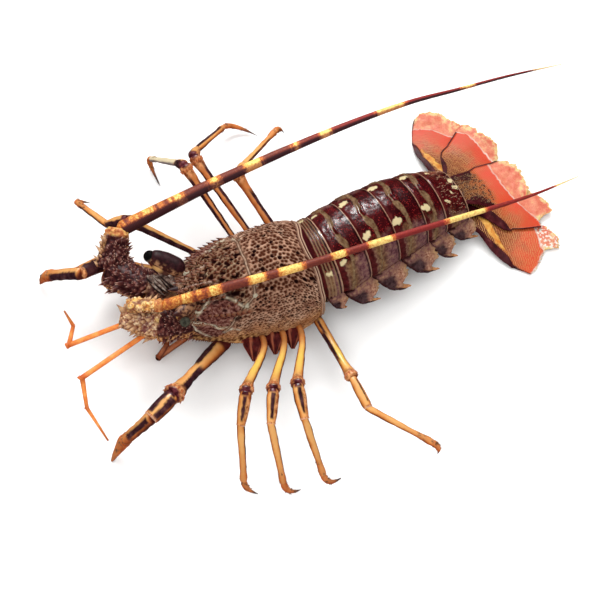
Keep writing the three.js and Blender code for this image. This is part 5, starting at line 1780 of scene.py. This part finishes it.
def leg_material():
    paint = Paint("leg_shell", Coat_Weight=0.06, Coat_Roughness=0.2)
    # painted light and shade: each link is lighter on top and darker down its sides and underneath
    top = paint.value("top")
    tone = paint.maths("ADD", paint.maths("MULTIPLY", top, 0.75),
                       paint.maths("MULTIPLY", paint.noise(70, 4), 0.4))
    colour = paint.ramp(tone, [(0.58, (88, 36, 24)), (0.7, (158, 80, 40)), (0.82, (226, 138, 68)),
                               (0.94, (250, 184, 110))])
    # painted highlight: a yellow streak along the top of those thighs
    gold = paint.maths("MULTIPLY", paint.value("gold"), paint.span(top, 0.8, 0.97))
    colour = paint.mix(gold, colour, (252, 212, 100))
    rust = paint.mottle(150, 4, [(0.35, (176, 78, 38)), (0.65, (222, 116, 60))])
    lumps = paint.mottle(330, 3, [(0.4, (134, 62, 38)), (0.6, (250, 176, 118))])
    # the one pale link also carries the painted shade: grey underneath, cream on top
    cream = paint.ramp(tone, [(0.7, (150, 136, 132)), (0.86, (240, 222, 184))])
    dark = paint.mottle(200, 4, [(0.35, (46, 18, 24)), (0.55, (74, 40, 46)), (0.75, (104, 66, 62))])
    knee = paint.mottle(300, 3, [(0.4, (62, 14, 22)), (0.7, (128, 60, 66))])
    root = paint.mottle(240, 4, [(0.35, (62, 18, 20)), (0.6, (104, 36, 34)), (0.75, (138, 70, 58))])
    root = paint.coats(root, ("crest", (206, 116, 82), 0.75))
    colour = paint.coats(
        colour, ("rust", rust, 0.8), ("fringe", lumps, 0.9), ("cream", cream, 1), ("dark", dark, 1),
        ("collar", lumps, 0.8), ("seam", (236, 180, 146), 0.8), ("joint", knee, 1), ("root", root, 1),
        ("claw", (84, 60, 58), 1), ("spine", (204, 114, 68), 1), ("hair", (128, 88, 62), 1))
    return paint.finish(colour, 0.38, paint.noise(700, 3), 0.1)


def make_leg(index, name, material):
    """The thigh with its hip, the shin with its foot, and the claw of one leg, as three pieces."""
    girth, side = LEG["girth"][index], SIDES[name]
    hip, knee, wrist, ankle, tip = leg_joints(index, name)
    panels = PANELS[name][index]
    tag = f"leg_{name}_{index + 1}"
    seed = 100 + 10 * index + len(name)
    skin = Skin()
    thigh = straight(hip, knee, "merus", THIGH_BOW[name][index])
    shape = link_skin(skin, thigh, "merus", side, index, panels["merus"], seed)
    joint_spines(skin, *shape, count=13, height=2.6 * girth)
    if index in MIDDLE_LEGS:
        leg_base(skin, index, side)
    skin.build(f"{tag}_thigh", material, "leg_shell", [f"{tag}_merus"])
    skin = Skin()
    shin = straight(knee - unit(wrist - knee) * LINK_SINK["carpus"], wrist, "carpus")
    shape = link_skin(skin, shin, "carpus", side, index, panels["carpus"], seed + 1)
    joint_spines(skin, *shape, count=5, height=1.3 * girth)
    foot = straight(wrist - unit(ankle - wrist) * LINK_SINK["propodus"], ankle, "propodus")
    shape = link_skin(skin, foot, "propodus", side, index, panels["propodus"], seed + 2)
    claw_hairs(skin, *shape, seed + 5, first=0.72, last=0.98, tufts=8)
    skin.build(f"{tag}_foot", material, "leg_shell", [f"{tag}_shin"])
    skin = Skin()
    hook = CLAW_HOOK["other" if index else "first"]
    onward = ankle + unit(ankle - wrist) * LEG["dactyl"][name][index] * hook
    onward[2] = max(onward[2], CLAW_CLEARANCE)
    claw = hooked(ankle, onward, tip, "dactyl")
    shape = link_skin(skin, claw, "dactyl", side, index, [], seed + 3)
    claw_hairs(skin, *shape, seed)
    skin.build(f"{tag}_claw", material, "claw", [f"{tag}_dactyl"])


def make_legs():
    material = leg_material()
    for name in SIDES:
        for index in range(len(LEG["girth"])):
            make_leg(index, name, material)


# ---------------------------------------------------------------------------
# Underside
# ---------------------------------------------------------------------------

def dress_underside():
    """The face block and the plate between the legs keep their solids, with a shell material."""
    paint = Paint("underside", Coat_Weight=0.1)
    colour = paint.mottle(120, 5, [(0.3, (120, 74, 54)), (0.55, (176, 128, 92)), (0.75, (206, 168, 128))])
    colour = paint.mix(paint.span(paint.cells(240), 0.4, 0.2, 0, 0.5), colour, (96, 52, 42))
    material = paint.finish(colour, 0.5, paint.noise(500, 4), 0.4)
    for node in ("face", "sternum"):
        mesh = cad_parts[node].data
        mesh.materials.clear()
        mesh.materials.append(material)


add_camera()
add_studio()
make_carapace()
make_eyes()
make_antennae()
make_face_ribs()
make_head_limbs()
make_abdomen()
make_fan()
make_legs()
dress_underside()
